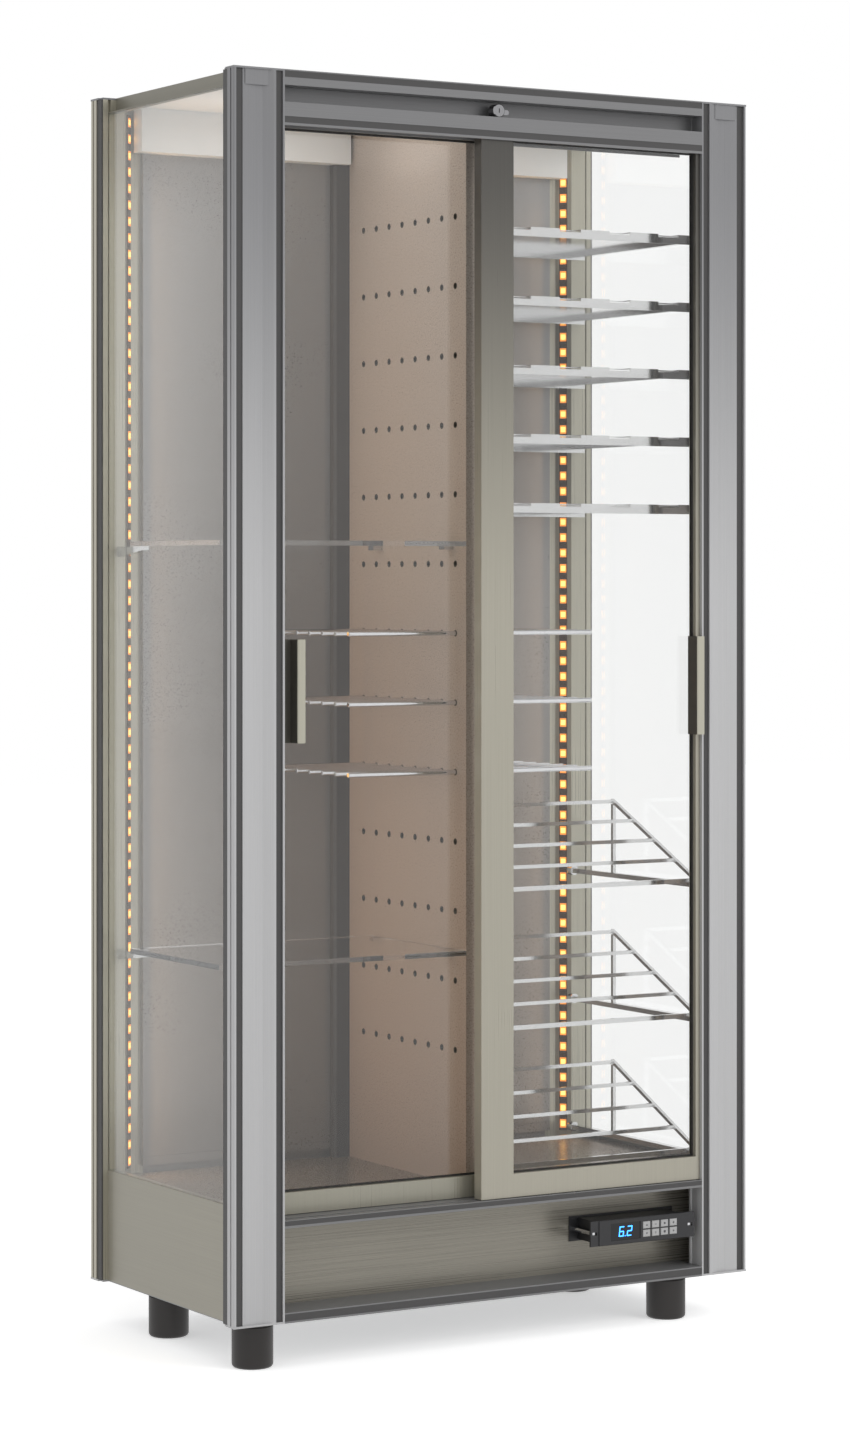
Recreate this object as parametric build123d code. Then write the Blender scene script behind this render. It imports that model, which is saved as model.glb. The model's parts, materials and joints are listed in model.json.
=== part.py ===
"""Sliding-door wine cooler: aluminium posts and headers, glass sides and doors, a perforated
partition, bottle and glass shelves, a cooling unit in the base and a control panel.

Millimetres, +Z up, front towards -Y. The origin is the bottom centre of the bounding box.
"""

import os
from math import sqrt

from build123d import *

# ---------------------------------------------------------------- overall sizes
WIDTH = 960.0
DEPTH = 497.0
HEIGHT = 2000.0
FOOT_HEIGHT = 70.0
HANDLE_PROUD = 12.0

FRONT_Y = (HANDLE_PROUD - DEPTH) / 2
BACK_Y = FRONT_Y + DEPTH
HALF_W = WIDTH / 2

# ---------------------------------------------------------------- general fits
SHEET = 2.0
SLIDE_GAP = 0.5
SEAT_GAP = 0.2
PIN_GAP = 0.05

# ---------------------------------------------------------------- posts
POST_WIDTH = 89.0
POST_DEPTH = 37.5
POST_CAP = 3.0
PLUG_HEIGHT = 27.0
PLUG_GAP = 0.3
PLUG_INSET = 1.0
LIP = 4.5
OUTER_GROOVE = 12.5
INNER_GROOVE = 12.0
INNER_LIP = 3.0
INNER_RIB = 4.5
COVE_RIM = 3.0
COVE_DEPTH = 5.5
COVE_OUTER_FLANK = 21.0
COVE_INNER_FLANK = 16.5
RIM_SETBACK = 3.0
TRIM_THICK = 3.0
OUTER_TRIM_SETBACK = 4.0
INNER_TRIM_SETBACK = 3.0
SIDE_LIP = 8.0
SIDE_SLOT = 3.4
SIDE_RIB = 9.6
SIDE_STEP = 4.0
SIDE_TRIM = 2.5
FACET = 20.0
FACET_START = 47.0
CHAMBER_WALL = 3.0
EDGE_RADIUS = 2.5
HOOK = 2.0
HOOK_START = 16.0
HOOK_END = 6.0
CAP_NOTCH = 10.0

POST_INNER_X = HALF_W - POST_WIDTH
POST_BOTTOM = FOOT_HEIGHT + POST_CAP
POST_TOP = HEIGHT - POST_CAP

# ---------------------------------------------------------------- side glass
GLASS_INSET = 13.0
GLASS_THICK = 4.6
GLASS_BITE = 6.0
SIDE_BASE_TOP = 252.0
SIDE_RAIL_HEIGHT = 26.0
SIDE_RAIL_INSET = 28.0

GLASS_OUT_X = HALF_W - GLASS_INSET - SEAT_GAP
GLASS_IN_X = GLASS_OUT_X - GLASS_THICK
SKIN_X = HALF_W - GLASS_INSET
RAIL_OUT_X = HALF_W - SIDE_RAIL_INSET

# ---------------------------------------------------------------- headers
HEADER_DEPTH = 70.0
HEADER_HEIGHT = 86.0
HEADER_WALL = 5.0
HEADER_WEB = 3.0
REAR_HEADER_DEPTH = 27.0
REAR_HEADER_HEIGHT = 81.0
BAND = 10.0
BAND_THICK = 2.5
TOP_BAND_MARGIN = 2.0
LOWER_BAND_MARGIN = 4.0
LOCK_RECESS_DEPTH = 32.0
LOCK_RECESS_TOP = 24.0
LOCK_RECESS_HEIGHT = 26.0

HEADER_BOTTOM = HEIGHT - HEADER_HEIGHT
RECESS_TOP_Z = HEIGHT - LOCK_RECESS_TOP
RECESS_FLOOR_Z = RECESS_TOP_Z - LOCK_RECESS_HEIGHT

# ---------------------------------------------------------------- base
BASE_RAIL_HEIGHT = 16.0
SILL_HEIGHT = 12.0
SILL_TOP = 228.0
SILL_BAND_LIFT = 3.7
SILL_BAND_DROP = 1.0
SILL_LIP = 8.0
SILL_REAR_LIP = 4.0
SILL_WEB = 3.0
PANEL_SETBACK = 70.0
FLOOR_THICK = 14.0
FLOOR_TOP = 240.0
CEILING_THICK = 13.0
BACK_WALL = 27.0
BACK_FLANGE_LAP = 4.0
BACK_OUTER_SETBACK = 5.0
BACK_STRIP_TOP = 266.5
BACK_SEAM = 1.0
AIR_SLOT_TOP = 251.7
CHANNEL_WIDTH = 29.0
CHANNEL_DEPTH = 16.0
CHANNEL_CHAMFER = 4.0
BULKHEAD_THICK = 30.0
BULKHEAD_HEIGHT = 71.0
BULKHEAD_END = 1.0
BULKHEAD_GAP = 5.0
LOUVRE_COLUMNS = 5
LOUVRE_ROWS = 7
LOUVRE_LENGTH = 90.0
LOUVRE_HEIGHT = 6.0
LOUVRE_PITCH_X = 120.0
LOUVRE_PITCH_Z = 16.0
LOUVRE_FIRST_Z = 112.0

CEILING_Z = HEIGHT - SHEET - CEILING_THICK
SILL_BOTTOM = SILL_TOP - SILL_HEIGHT
BASE_RAIL_TOP = FOOT_HEIGHT + BASE_RAIL_HEIGHT
BACK_IN_Y = BACK_Y - BACK_WALL
BACK_STEP_Y = BACK_Y - POST_DEPTH + FACET
BACK_OUT_Y = BACK_Y - BACK_OUTER_SETBACK
PANEL_Y = FRONT_Y + PANEL_SETBACK
POST_BACK_Y = FRONT_Y + POST_DEPTH
REAR_POST_Y = BACK_Y - POST_DEPTH

# ---------------------------------------------------------------- doors
DOOR_THICK = 21.0
FRONT_DOOR_SETBACK = 6.0
REAR_DOOR_SETBACK = 45.0
DOOR_LIFT = 1.0
DOOR_TOP_COVER = 24.0
TOP_RAIL_HEIGHT = 22.0
WIDE_STILE = 60.4
WIDE_STILE_CENTRE = -1.5
SLIM_STILE = 8.0
EDGE_STILE = 12.0
REAR_DOOR_EDGE = 4.0
FRONT_RAIL_HEIGHT = 37.5
REAR_RAIL_HEIGHT = 34.0
PANE = 6.0
PANE_SETBACK = 9.0
PANE_BITE = 8.0
SLIM_BITE = 4.0
GUIDE_HEIGHT = 12.0
GUIDE_LEFT = 8.0
GUIDE_RIGHT = 21.0
END_GUIDE = 11.5

DOOR_BOTTOM = SILL_TOP + DOOR_LIFT
DOOR_TOP = HEADER_BOTTOM + DOOR_TOP_COVER
DOOR_OUT_X = POST_INNER_X - SLIDE_GAP
DOOR_TRAVEL = DOOR_OUT_X - SLIM_STILE - GUIDE_RIGHT - END_GUIDE

ROLLER_DIA = 16.0
ROLLER_SIDES = 24
ROLLER_WIDTH = 6.0
ROLLER_PIN = 4.0
PIN_SEAT = 1.5
ROLLER_INSET = 60.0
TRACK_SLOT = 7.0
TRACK_DEPTH = 4.0
TRACK_GAP = 0.3
POCKET_GAP = 0.8

HANDLE_LENGTH = 161.0
HANDLE_BOTTOM = 960.5
HANDLE_FLANGE = 14.0
HANDLE_WALL = 3.0
FRONT_HANDLE_FOOT = 6.0
REAR_HANDLE_FOOT = 18.0
REAR_HANDLE_INSET = 12.0
REAR_HANDLE_CLEAR = 2.0

# ---------------------------------------------------------------- partition and shelves
PARTITION_THICK = 35.0
PARTITION_SETBACK = 78.0
HOLE_ROWS = 13
HOLE_COLUMNS = 8
HOLE_SIDES = 6
HOLE_FRONT_MARGIN = 33.0
HOLE_BACK_MARGIN = 63.6
HOLE_FIRST_Z = 456.0
HOLE_TOP_MARGIN = 200.0
ROD_DIA = 8.0
ROD_SIDES = 8
ROD_ROWS = (4, 5, 6)
ROD_LEFT = 217.0
ROD_RIGHT = 244.0

GLASS_SHELF_ROWS = (1, 7)
GLASS_SHELF_LIFTS = (51.0, 36.0)
GLASS_SHELF_THICK = 8.0
GLASS_SHELF_FRONT = 76.5
GLASS_SHELF_REAR_GAP = 86.5
BRACKET_WIDTH = 12.0
BRACKET_ROOT = 17.0
BRACKET_TIP = 6.0
BRACKET_LAP = 13.0
BRACKET_INSET = 2.0
CLIP_REACH = 18.0
CLIP_WIDTH = 16.0
CLIP_THICK = 5.0
CLIP_INSET = 40.0

BOTTLE_SHELVES = 5
BOTTLE_SHELF_DROP = 13.5
BOTTLE_SHELF_LEFT = 24.0
BOTTLE_SHELF_GLASS_GAP = 10.2
BOTTLE_SHELF_FRONT = 76.5
BOTTLE_SHELF_REAR_GAP = 41.5
TRAY_SHEET = 1.5
TRAY_FLANGE = 15.5
NOTCH_WIDTH = 41.0
NOTCH_DEPTH = 5.0
NOTCH_RUN = 22.0
NOTCH_LEFT_MARGIN = 60.5
NOTCH_RIGHT_MARGIN = 64.5
BOTTLES_PER_SHELF = 4
PEG_COLUMNS = (1, 6)
PEG_REACH = 9.0
PEG_BAR = 4.5
PEG_WIDTH = 12.0
PEG_TOE = 12.0
PEG_TOE_THICK = 3.0

DISPLAY_SHELVES = 3
DISPLAY_LIFT = 22.0
DISPLAY_FRONT = 74.0
DISPLAY_RUN = 250.0
DISPLAY_RISE = 120.0
DISPLAY_BAR = 7.5
DISPLAY_WIRE = 6.0
DISPLAY_LEFT = 18.5
DISPLAY_GLASS_GAP = 24.2
DISPLAY_CROSS_BARS = 4

RAIL_WIDTH = 12.0
RAIL_HEIGHT = 8.0
STUD_DIA = 17.0
STUD_SIDES = 12
STUD_LENGTH = 12.0
LEFT_RAIL_LEAD = 8.0

BOTTLE_SHELF_RIGHT = GLASS_IN_X - BOTTLE_SHELF_GLASS_GAP - RAIL_WIDTH
DISPLAY_RAIL_X = GLASS_IN_X - DISPLAY_GLASS_GAP - RAIL_WIDTH
DISPLAY_RIGHT = DISPLAY_RAIL_X + DISPLAY_WIRE
PARTITION_FACE = PARTITION_THICK / 2
PARTITION_Y = FRONT_Y + PARTITION_SETBACK
ROW_PITCH = (HEIGHT - HOLE_TOP_MARGIN - HOLE_FIRST_Z) / (HOLE_ROWS - 1)

# ---------------------------------------------------------------- lighting
LED_WIDTH = 14.0
LED_THICK = 2.5
LED_MARGIN = 10.0

# ---------------------------------------------------------------- control panel
BEZEL_POST_GAP = 13.0
BEZEL_WIDTH = 203.0
BEZEL_BOTTOM = 136.0
BEZEL_HEIGHT = 41.0
BEZEL_THICK = 5.0
BEZEL_SETBACK = 3.0
EAR_WIDTH = 16.0
EAR_STEP = 1.5
SCREW_SLOT_LENGTH = 9.0
SCREW_SLOT = 5.0
BEZEL_CHAMFER = 1.0
HOUSING_MARGIN = 3.0
HOUSING_TAIL = 20.0
PANEL_CUT_GAP = 1.0
WINDOW_INSET = 38.0
WINDOW_WIDTH = 58.0
WINDOW_HEIGHT = 28.0
KEY_WIDTH = 14.2
KEY_HEIGHT = 11.4
KEY_PITCH_X = 17.5
KEY_PITCH_Z = 13.5
KEY_INSET = 108.0
KEY_COLUMNS = 4
KEY_CHAMFER = 0.8
KEY_PROUD = 1.0
KEY_LENGTH = 5.0
KEY_GAP = 0.35
KEY_STEM = 3.0
KEY_TRAVEL = 0.8
KEY_STEM_WIDTH = 4.0
KEY_STOP_GAP = 0.3
KEY_WELL_GAP = 1.0
STANDOFF_WIDTH = 7.0
STANDOFF_SIDES = 6
DISPLAY_SETBACK = 1.0

BEZEL_LEFT = POST_INNER_X - BEZEL_POST_GAP - BEZEL_WIDTH
BEZEL_Y = FRONT_Y + BEZEL_SETBACK
BEZEL_BACK_Y = BEZEL_Y + BEZEL_THICK
BEZEL_MID_Z = BEZEL_BOTTOM + BEZEL_HEIGHT / 2

# ---------------------------------------------------------------- lock
LOCK_DIA = 21.5
LOCK_LENGTH = 17.0
LOCK_SETBACK = 3.0
PLUG_DIA = 12.0
CAM_LENGTH = 29.0
CAM_WIDTH = 8.0
CAM_THICK = 2.5
CAM_GAP = 0.5
KEYWAY_WIDTH = 1.6
KEYWAY_HEIGHT = 7.0
KEYWAY_DEPTH = 8.0
LOCK_CHAMFER = 1.2
CAM_CLEAR = 1.5

# ---------------------------------------------------------------- feet
FOOT_DIA = 64.5
FOOT_EDGE = 5.0
FOOT_LEFT_INSET = 57.0
FOOT_RIGHT_INSET = 130.0
FOOT_FRONT_INSET = 45.5
FOOT_PITCH_Y = 283.0

# ---------------------------------------------------------------- cooling unit
COMPRESSOR_Y = 12.5
COMPRESSOR_DIA = 118.0
COMPRESSOR_HEIGHT = 122.0
COMPRESSOR_NECK_DIA = 70.0
COMPRESSOR_SHOULDER = 24.0
COMPRESSOR_LIFT = 10.0
PLATE_LENGTH = 140.0
PLATE_DEPTH = 90.0
PLATE_THICK = 4.0
PLATE_FOOT = 14.0
PLATE_FOOT_INSET = 10.0
COIL_WIDTH = 180.0
COIL_HEIGHT = 120.0
COIL_DEPTH = 38.0
COIL_REAR_GAP = 67.0
COIL_SIDE_GAP = 60.0
COIL_CORE_SETBACK = 9.0
COIL_FINS = 12
FIN_THICK = 1.5
FAN_DIA = 104.0
FAN_BLADES = 5
FAN_HUB = 34.0
FAN_HUB_SIDES = 12
FAN_DEPTH = 16.0
FAN_PITCH = 35.0
BLADE_THICK = 1.6
BLADE_ROOT = 2.0
BLADE_CHORD = 17.6
FAN_SHAFT = 6.0
FAN_SHAFT_REACH = 10.0
FAN_TIP_GAP = 2.0
RING_SIDES = 24
SHROUD_DEPTH = 36.0
SHROUD_WALL = 2.0
MOTOR_DIA = 28.0
MOTOR_LENGTH = 11.0
MOTOR_BAR = 10.0
MOTOR_BAR_THICK = 4.0
MOTOR_GAP = 1.0
ELECTRICS_WIDTH = 130.0
ELECTRICS_DEPTH = 90.0
ELECTRICS_HEIGHT = 110.0
ELECTRICS_POST_GAP = 41.0
ELECTRICS_COIL_GAP = 40.0
PIPE_DIA = 8.0
PIPE_SIDES = 8
PIPE_RISE = 10.0
PIPE_SPREAD = 20.0

ELECTRICS_X = POST_INNER_X - ELECTRICS_POST_GAP - ELECTRICS_WIDTH
CONDENSER_X = ELECTRICS_X - ELECTRICS_COIL_GAP - COIL_WIDTH / 2
EVAPORATOR_X = COIL_SIDE_GAP + COIL_WIDTH / 2 - HALF_W
COMPRESSOR_X = (CONDENSER_X + EVAPORATOR_X) / 2
COIL_Y = BACK_Y - COIL_REAR_GAP


# ================================================================ helpers
def block(x0, x1, y0, y1, z0, z1):
    """A block between two corners."""
    centre = ((x0 + x1) / 2, (y0 + y1) / 2, (z0 + z1) / 2)
    return Pos(*centre) * Box(x1 - x0, y1 - y0, z1 - z0)


def along_x(radius, x0, x1, y, z):
    """A round bar that runs along X."""
    return Pos((x0 + x1) / 2, y, z) * Rot(0, 90, 0) * Cylinder(radius, x1 - x0)


def along_y(radius, y0, y1, x, z):
    """A round bar that runs along Y."""
    return Pos(x, (y0 + y1) / 2, z) * Rot(90, 0, 0) * Cylinder(radius, y1 - y0)


def prism_x(sides, radius, x0, x1, y, z):
    """A bar with a few flat sides that runs along X."""
    flat = Plane(origin=(x0, y, z), x_dir=(0, 1, 0), z_dir=(1, 0, 0))
    return extrude(flat * RegularPolygon(radius, sides), x1 - x0)


def prism_y(sides, radius, y0, y1, x, z):
    """A bar with a few flat sides that runs along Y."""
    flat = Plane(origin=(x, y1, z), x_dir=(1, 0, 0), z_dir=(0, -1, 0))
    return extrude(flat * RegularPolygon(radius, sides), y1 - y0)


def upright(outline, z0, z1):
    """A plan outline raised from z0 to z1."""
    return Pos(0, 0, z0) * extrude(outline, z1 - z0)


def lengthwise(rectangles, x0, x1, cuts=()):
    """A section made of (y0, y1, z0, z1) rectangles, run along X from x0 to x1."""
    outline = section(rectangles) - section(cuts) if cuts else section(rectangles)
    return extrude(Plane(origin=(x0, 0, 0), x_dir=(0, 1, 0), z_dir=(1, 0, 0)) * outline, x1 - x0)


def section(rectangles):
    """The union of (a0, a1, b0, b1) rectangles in a drawing plane."""
    shape = Sketch()
    for a0, a1, b0, b1 in rectangles:
        shape += Pos((a0 + a1) / 2, (b0 + b1) / 2) * Rectangle(a1 - a0, b1 - b0)
    return shape


def plan(rectangles):
    """The union of (x0, x1, y0, y1) rectangles seen from above."""
    return section(rectangles)


def mirrored(shape):
    """The same shape on the other side of the middle plane."""
    return mirror(shape, about=Plane.YZ)


def save(name, *shapes):
    """Write one node; several shapes stay separate solids."""
    solids = [solid for shape in shapes for solid in shape.solids()]
    node = solids[0] if len(solids) == 1 else Compound(children=solids)
    export_step(node, f"parts/{name}.step")


# ================================================================ posts and their trim
def post_section(rear):
    """One post's section: u runs inward from the outer side, v runs in from the outer face."""
    groove_1 = LIP + OUTER_GROOVE
    cove_start = groove_1 + COVE_RIM
    cove_end = POST_WIDTH - INNER_LIP - INNER_GROOVE - INNER_RIB
    rib_end = cove_end + INNER_RIB
    groove_2 = rib_end + INNER_GROOVE
    outer_floor = OUTER_TRIM_SETBACK + TRIM_THICK
    inner_floor = INNER_TRIM_SETBACK + TRIM_THICK
    step_start = SIDE_LIP + SIDE_SLOT + SIDE_RIB
    with BuildSketch() as sketch:
        with BuildLine():
            FilletPolyline((0, SIDE_LIP), (0, 0), (LIP, 0), radius=EDGE_RADIUS)
            Polyline((LIP, 0), (LIP, outer_floor), (groove_1, outer_floor), (groove_1, RIM_SETBACK))
            Polyline(
                (groove_1, RIM_SETBACK),
                (cove_start, RIM_SETBACK),
                (cove_start + COVE_OUTER_FLANK, COVE_DEPTH),
                (cove_end - COVE_INNER_FLANK, COVE_DEPTH),
                (cove_end, 0),
                (rib_end, 0),
            )
            Polyline((rib_end, 0), (rib_end, inner_floor), (groove_2, inner_floor), (groove_2, 0))
            if rear:
                flange = POST_DEPTH - FACET
                Polyline(
                    (groove_2, 0),
                    (POST_WIDTH, 0),
                    (POST_WIDTH, flange),
                    (FACET_START + FACET, flange),
                    (FACET_START, POST_DEPTH),
                    (SIDE_STEP, POST_DEPTH),
                )
            else:
                Polyline(
                    (groove_2, 0),
                    (POST_WIDTH, 0),
                    (POST_WIDTH, HOOK_START),
                    (POST_WIDTH - HOOK, HOOK_START + HOOK),
                    (POST_WIDTH - HOOK, POST_DEPTH - HOOK_END),
                    (POST_WIDTH, POST_DEPTH - HOOK_END + HOOK),
                    (POST_WIDTH, POST_DEPTH),
                    (SIDE_STEP, POST_DEPTH),
                )
            Polyline(
                (SIDE_STEP, POST_DEPTH),
                (SIDE_STEP, step_start),
                (0, step_start),
                (0, SIDE_LIP + SIDE_SLOT),
                (SIDE_STEP, SIDE_LIP + SIDE_SLOT),
                (SIDE_STEP, SIDE_LIP),
                (0, SIDE_LIP),
            )
        make_face()
        wall = COVE_DEPTH + CHAMBER_WALL
        glass_u = GLASS_INSET + SEAT_GAP + GLASS_THICK / 2
        glass_slot = GLASS_THICK + 2 * SEAT_GAP
        with Locations((glass_u, POST_DEPTH - GLASS_BITE / 2)):
            Rectangle(glass_slot, GLASS_BITE + SEAT_GAP + 1, mode=Mode.SUBTRACT)
        chamber_u0 = glass_u + glass_slot / 2 + CHAMBER_WALL
        chamber_u1 = FACET_START - CHAMBER_WALL if rear else rib_end - CHAMBER_WALL
        chamber_v1 = POST_DEPTH - CHAMBER_WALL
        with Locations(((chamber_u0 + chamber_u1) / 2, (wall + chamber_v1) / 2)):
            Rectangle(chamber_u1 - chamber_u0, chamber_v1 - wall, mode=Mode.SUBTRACT)
    return sketch.sketch


def post_outline(rear):
    """The post's plain outline, for the plates that close its ends."""
    inner_v = POST_DEPTH - FACET if rear else POST_DEPTH
    points = [(0, 0), (POST_WIDTH, 0), (POST_WIDTH, inner_v)]
    if rear:
        points += [(FACET_START + FACET, inner_v), (FACET_START, POST_DEPTH)]
    points += [(SIDE_STEP, POST_DEPTH), (SIDE_STEP, POST_DEPTH - CAP_NOTCH), (0, POST_DEPTH - CAP_NOTCH)]
    return make_face(Polyline(*points, close=True))


def place_right(outline, rear, z0, z1):
    """Stand a post outline up at the right-hand side, front or rear."""
    if rear:
        flat = Plane(origin=(HALF_W, BACK_Y, z0), x_dir=(-1, 0, 0), z_dir=(0, 0, 1))
        return extrude(flat * outline, z1 - z0)
    flat = Plane(origin=(HALF_W, FRONT_Y, z0), x_dir=(-1, 0, 0), z_dir=(0, 0, -1))
    return extrude(flat * outline, -(z1 - z0))


def trim_rectangles():
    """The dark strips that fill a post's grooves, in the post's own (u, v)."""
    rib_end = POST_WIDTH - INNER_LIP - INNER_GROOVE
    step_start = SIDE_LIP + SIDE_SLOT + SIDE_RIB
    outer_end = OUTER_TRIM_SETBACK + TRIM_THICK
    inner_end = INNER_TRIM_SETBACK + TRIM_THICK
    return [
        (LIP, LIP + OUTER_GROOVE, OUTER_TRIM_SETBACK, outer_end),
        (rib_end, rib_end + INNER_GROOVE, INNER_TRIM_SETBACK, inner_end),
        (SIDE_STEP - SIDE_TRIM, SIDE_STEP, step_start, POST_DEPTH),
    ]


def cap_shapes(rear):
    """End plates for one right-hand post, the upper one with a plug in the cove."""
    cove_start = LIP + OUTER_GROOVE + COVE_RIM
    cove_end = POST_WIDTH - INNER_LIP - INNER_GROOVE - INNER_RIB
    floor = COVE_DEPTH - PLUG_GAP
    rim = RIM_SETBACK - PLUG_INSET
    outline = make_face(Polyline(
        (cove_start + PLUG_INSET, rim),
        (cove_start + PLUG_INSET, RIM_SETBACK - PLUG_GAP),
        (cove_start + COVE_OUTER_FLANK, floor),
        (cove_end - COVE_INNER_FLANK - PLUG_INSET, floor),
        (cove_end - COVE_INNER_FLANK * rim / COVE_DEPTH - 2 * PLUG_INSET, rim),
        close=True,
    ))
    plug = place_right(outline, rear, HEIGHT - PLUG_HEIGHT, HEIGHT - POST_CAP / 2)
    top = place_right(post_outline(rear), rear, POST_TOP, HEIGHT) + plug
    bottom = place_right(post_outline(rear), rear, FOOT_HEIGHT, POST_BOTTOM)
    return [top, bottom]


def build_posts():
    """Four posts, their dark strips and the plates that close their ends."""
    caps = []
    trims = []
    for rear, side in ((False, "front"), (True, "rear")):
        post = place_right(post_section(rear), rear, POST_BOTTOM, POST_TOP)
        save(f"post_{side}_right", post)
        save(f"post_{side}_left", mirrored(post))
        for shape in cap_shapes(rear):
            caps += [shape, mirrored(shape)]
        for rectangle in trim_rectangles():
            strip = place_right(section([rectangle]), rear, POST_BOTTOM, POST_TOP)
            trims += [strip, mirrored(strip)]
    save("post_end_caps", *caps)
    return trims


# ================================================================ headers, sill and rails
def header_bands():
    """The two dark bands of a header as (z0, z1)."""
    upper = HEIGHT - TOP_BAND_MARGIN
    lower = HEADER_BOTTOM + LOWER_BAND_MARGIN
    return [(upper - BAND, upper), (lower, lower + BAND)]


def build_headers():
    """The front header holds the lock recess and two door channels; the rear one is plain."""
    y = FRONT_Y
    y_end = y + HEADER_DEPTH
    wall_y = y + LOCK_RECESS_DEPTH
    walls = [
        (y, y + HEADER_WALL, HEADER_BOTTOM, RECESS_FLOOR_Z),
        (y, y_end, RECESS_FLOOR_Z - HEADER_WEB, RECESS_FLOOR_Z),
        (wall_y, wall_y + HEADER_WEB, HEADER_BOTTOM, HEIGHT),
        (y, wall_y + HEADER_WEB, RECESS_TOP_Z, RECESS_TOP_Z + HEADER_WEB),
        (y, y + HEADER_WALL, RECESS_TOP_Z, HEIGHT),
        (y, y_end, HEIGHT - HEADER_WEB, HEIGHT),
        (y_end - HEADER_WEB, y_end, HEADER_BOTTOM, HEIGHT),
    ]
    grooves = [(y - 1, y + BAND_THICK, z0, z1) for z0, z1 in header_bands()]
    front = lengthwise(walls, -POST_INNER_X, POST_INNER_X, grooves)
    cam_y = y + LOCK_SETBACK + LOCK_LENGTH
    slot_left = CAM_WIDTH / 2 + CAM_CLEAR
    slot_right = cam_reach(LOCK_DIA / 2) + 2 * CAM_CLEAR
    cam_slot = (cam_y - 1, cam_y + CAM_THICK + 2, RECESS_FLOOR_Z - HEADER_WEB - 1, RECESS_FLOOR_Z + 1)
    save("header_front", front - block(-slot_left, slot_right, *cam_slot))

    inner = BACK_Y - REAR_HEADER_DEPTH
    bottom = HEIGHT - REAR_HEADER_HEIGHT
    rear_walls = [
        (inner, inner + HEADER_WEB, bottom, HEIGHT),
        (BACK_Y - HEADER_WALL, BACK_Y, bottom, HEIGHT),
        (inner, BACK_Y, HEIGHT - HEADER_WEB, HEIGHT),
        (inner, BACK_Y, bottom, bottom + HEADER_WEB),
    ]
    rear_grooves = [(BACK_Y - BAND_THICK, BACK_Y + 1, z0, z1) for z0, z1 in header_bands()]
    save("header_rear", lengthwise(rear_walls, -POST_INNER_X, POST_INNER_X, rear_grooves[:1]))

    strips = [lengthwise([(y + 0.5, y + BAND_THICK, z0, z1)], -POST_INNER_X, POST_INNER_X)
              for z0, z1 in header_bands()]
    z0, z1 = header_bands()[0]
    rear_band = (BACK_Y - BAND_THICK, BACK_Y - 0.5, z0, z1)
    strips.append(lengthwise([rear_band], -POST_INNER_X, POST_INNER_X))
    return strips


def door_grooves():
    """Y limits of the two roller grooves in the front track."""
    centres = [FRONT_Y + setback + DOOR_THICK / 2 for setback in (FRONT_DOOR_SETBACK, REAR_DOOR_SETBACK)]
    return [(centre - TRACK_SLOT / 2, centre + TRACK_SLOT / 2) for centre in centres]


def build_sill_and_rails():
    """The front track for both doors, the bottom rails and their dark strips."""
    y = FRONT_Y
    sill_band = (SILL_BOTTOM + SILL_BAND_LIFT, SILL_TOP - SILL_BAND_DROP)
    band_cut = [(y - 1, y + TRIM_THICK, *sill_band)]
    groove_z = SILL_TOP - TRACK_DEPTH
    sill_end = y + PANEL_SETBACK + SHEET
    under = (y + SILL_LIP, y + PANEL_SETBACK - SILL_REAR_LIP, SILL_BOTTOM - 1, groove_z - SILL_WEB)
    (front_0, front_1), (rear_0, rear_1) = door_grooves()
    save(
        "door_track",
        lengthwise([(y, sill_end, SILL_BOTTOM, groove_z)], -POST_INNER_X, POST_INNER_X, band_cut + [under]),
        lengthwise([(y, front_0, groove_z, SILL_TOP)], -POST_INNER_X, POST_INNER_X, band_cut),
        lengthwise([(front_1, rear_0, groove_z, SILL_TOP)], -POST_INNER_X, POST_INNER_X),
        lengthwise([(rear_1, sill_end, groove_z, SILL_TOP)], -POST_INNER_X, POST_INNER_X),
    )

    rail_band = (FOOT_HEIGHT + 1.5 * SHEET, BASE_RAIL_TOP - SHEET)
    front_rail = [
        (y, y + HEADER_WALL, FOOT_HEIGHT, BASE_RAIL_TOP),
        (y, sill_end, FOOT_HEIGHT, FOOT_HEIGHT + SHEET),
        (y, sill_end, BASE_RAIL_TOP - SHEET, BASE_RAIL_TOP),
        (sill_end - SHEET, sill_end, FOOT_HEIGHT, BASE_RAIL_TOP),
    ]
    rear_start = BACK_OUT_Y - SHEET
    rear_rail = [
        (rear_start, BACK_Y, FOOT_HEIGHT, FOOT_HEIGHT + SHEET),
        (rear_start, BACK_Y, BASE_RAIL_TOP - SHEET, BASE_RAIL_TOP),
        (BACK_Y - HEADER_WALL, BACK_Y, FOOT_HEIGHT, BASE_RAIL_TOP),
    ]
    front_cut = [(y - 1, y + TRIM_THICK, *rail_band)]
    rear_cut = [(BACK_Y - TRIM_THICK, BACK_Y + 1, *rail_band)]
    save(
        "base_rails",
        lengthwise(front_rail, -POST_INNER_X, POST_INNER_X, front_cut),
        lengthwise(rear_rail, -POST_INNER_X, POST_INNER_X, rear_cut),
    )
    bands = [
        (y + SLIDE_GAP, y + TRIM_THICK, *sill_band),
        (y + SLIDE_GAP, y + TRIM_THICK, *rail_band),
        (BACK_Y - TRIM_THICK, BACK_Y - SLIDE_GAP, *rail_band),
    ]
    return [lengthwise([band], -POST_INNER_X, POST_INNER_X) for band in bands]


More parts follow.
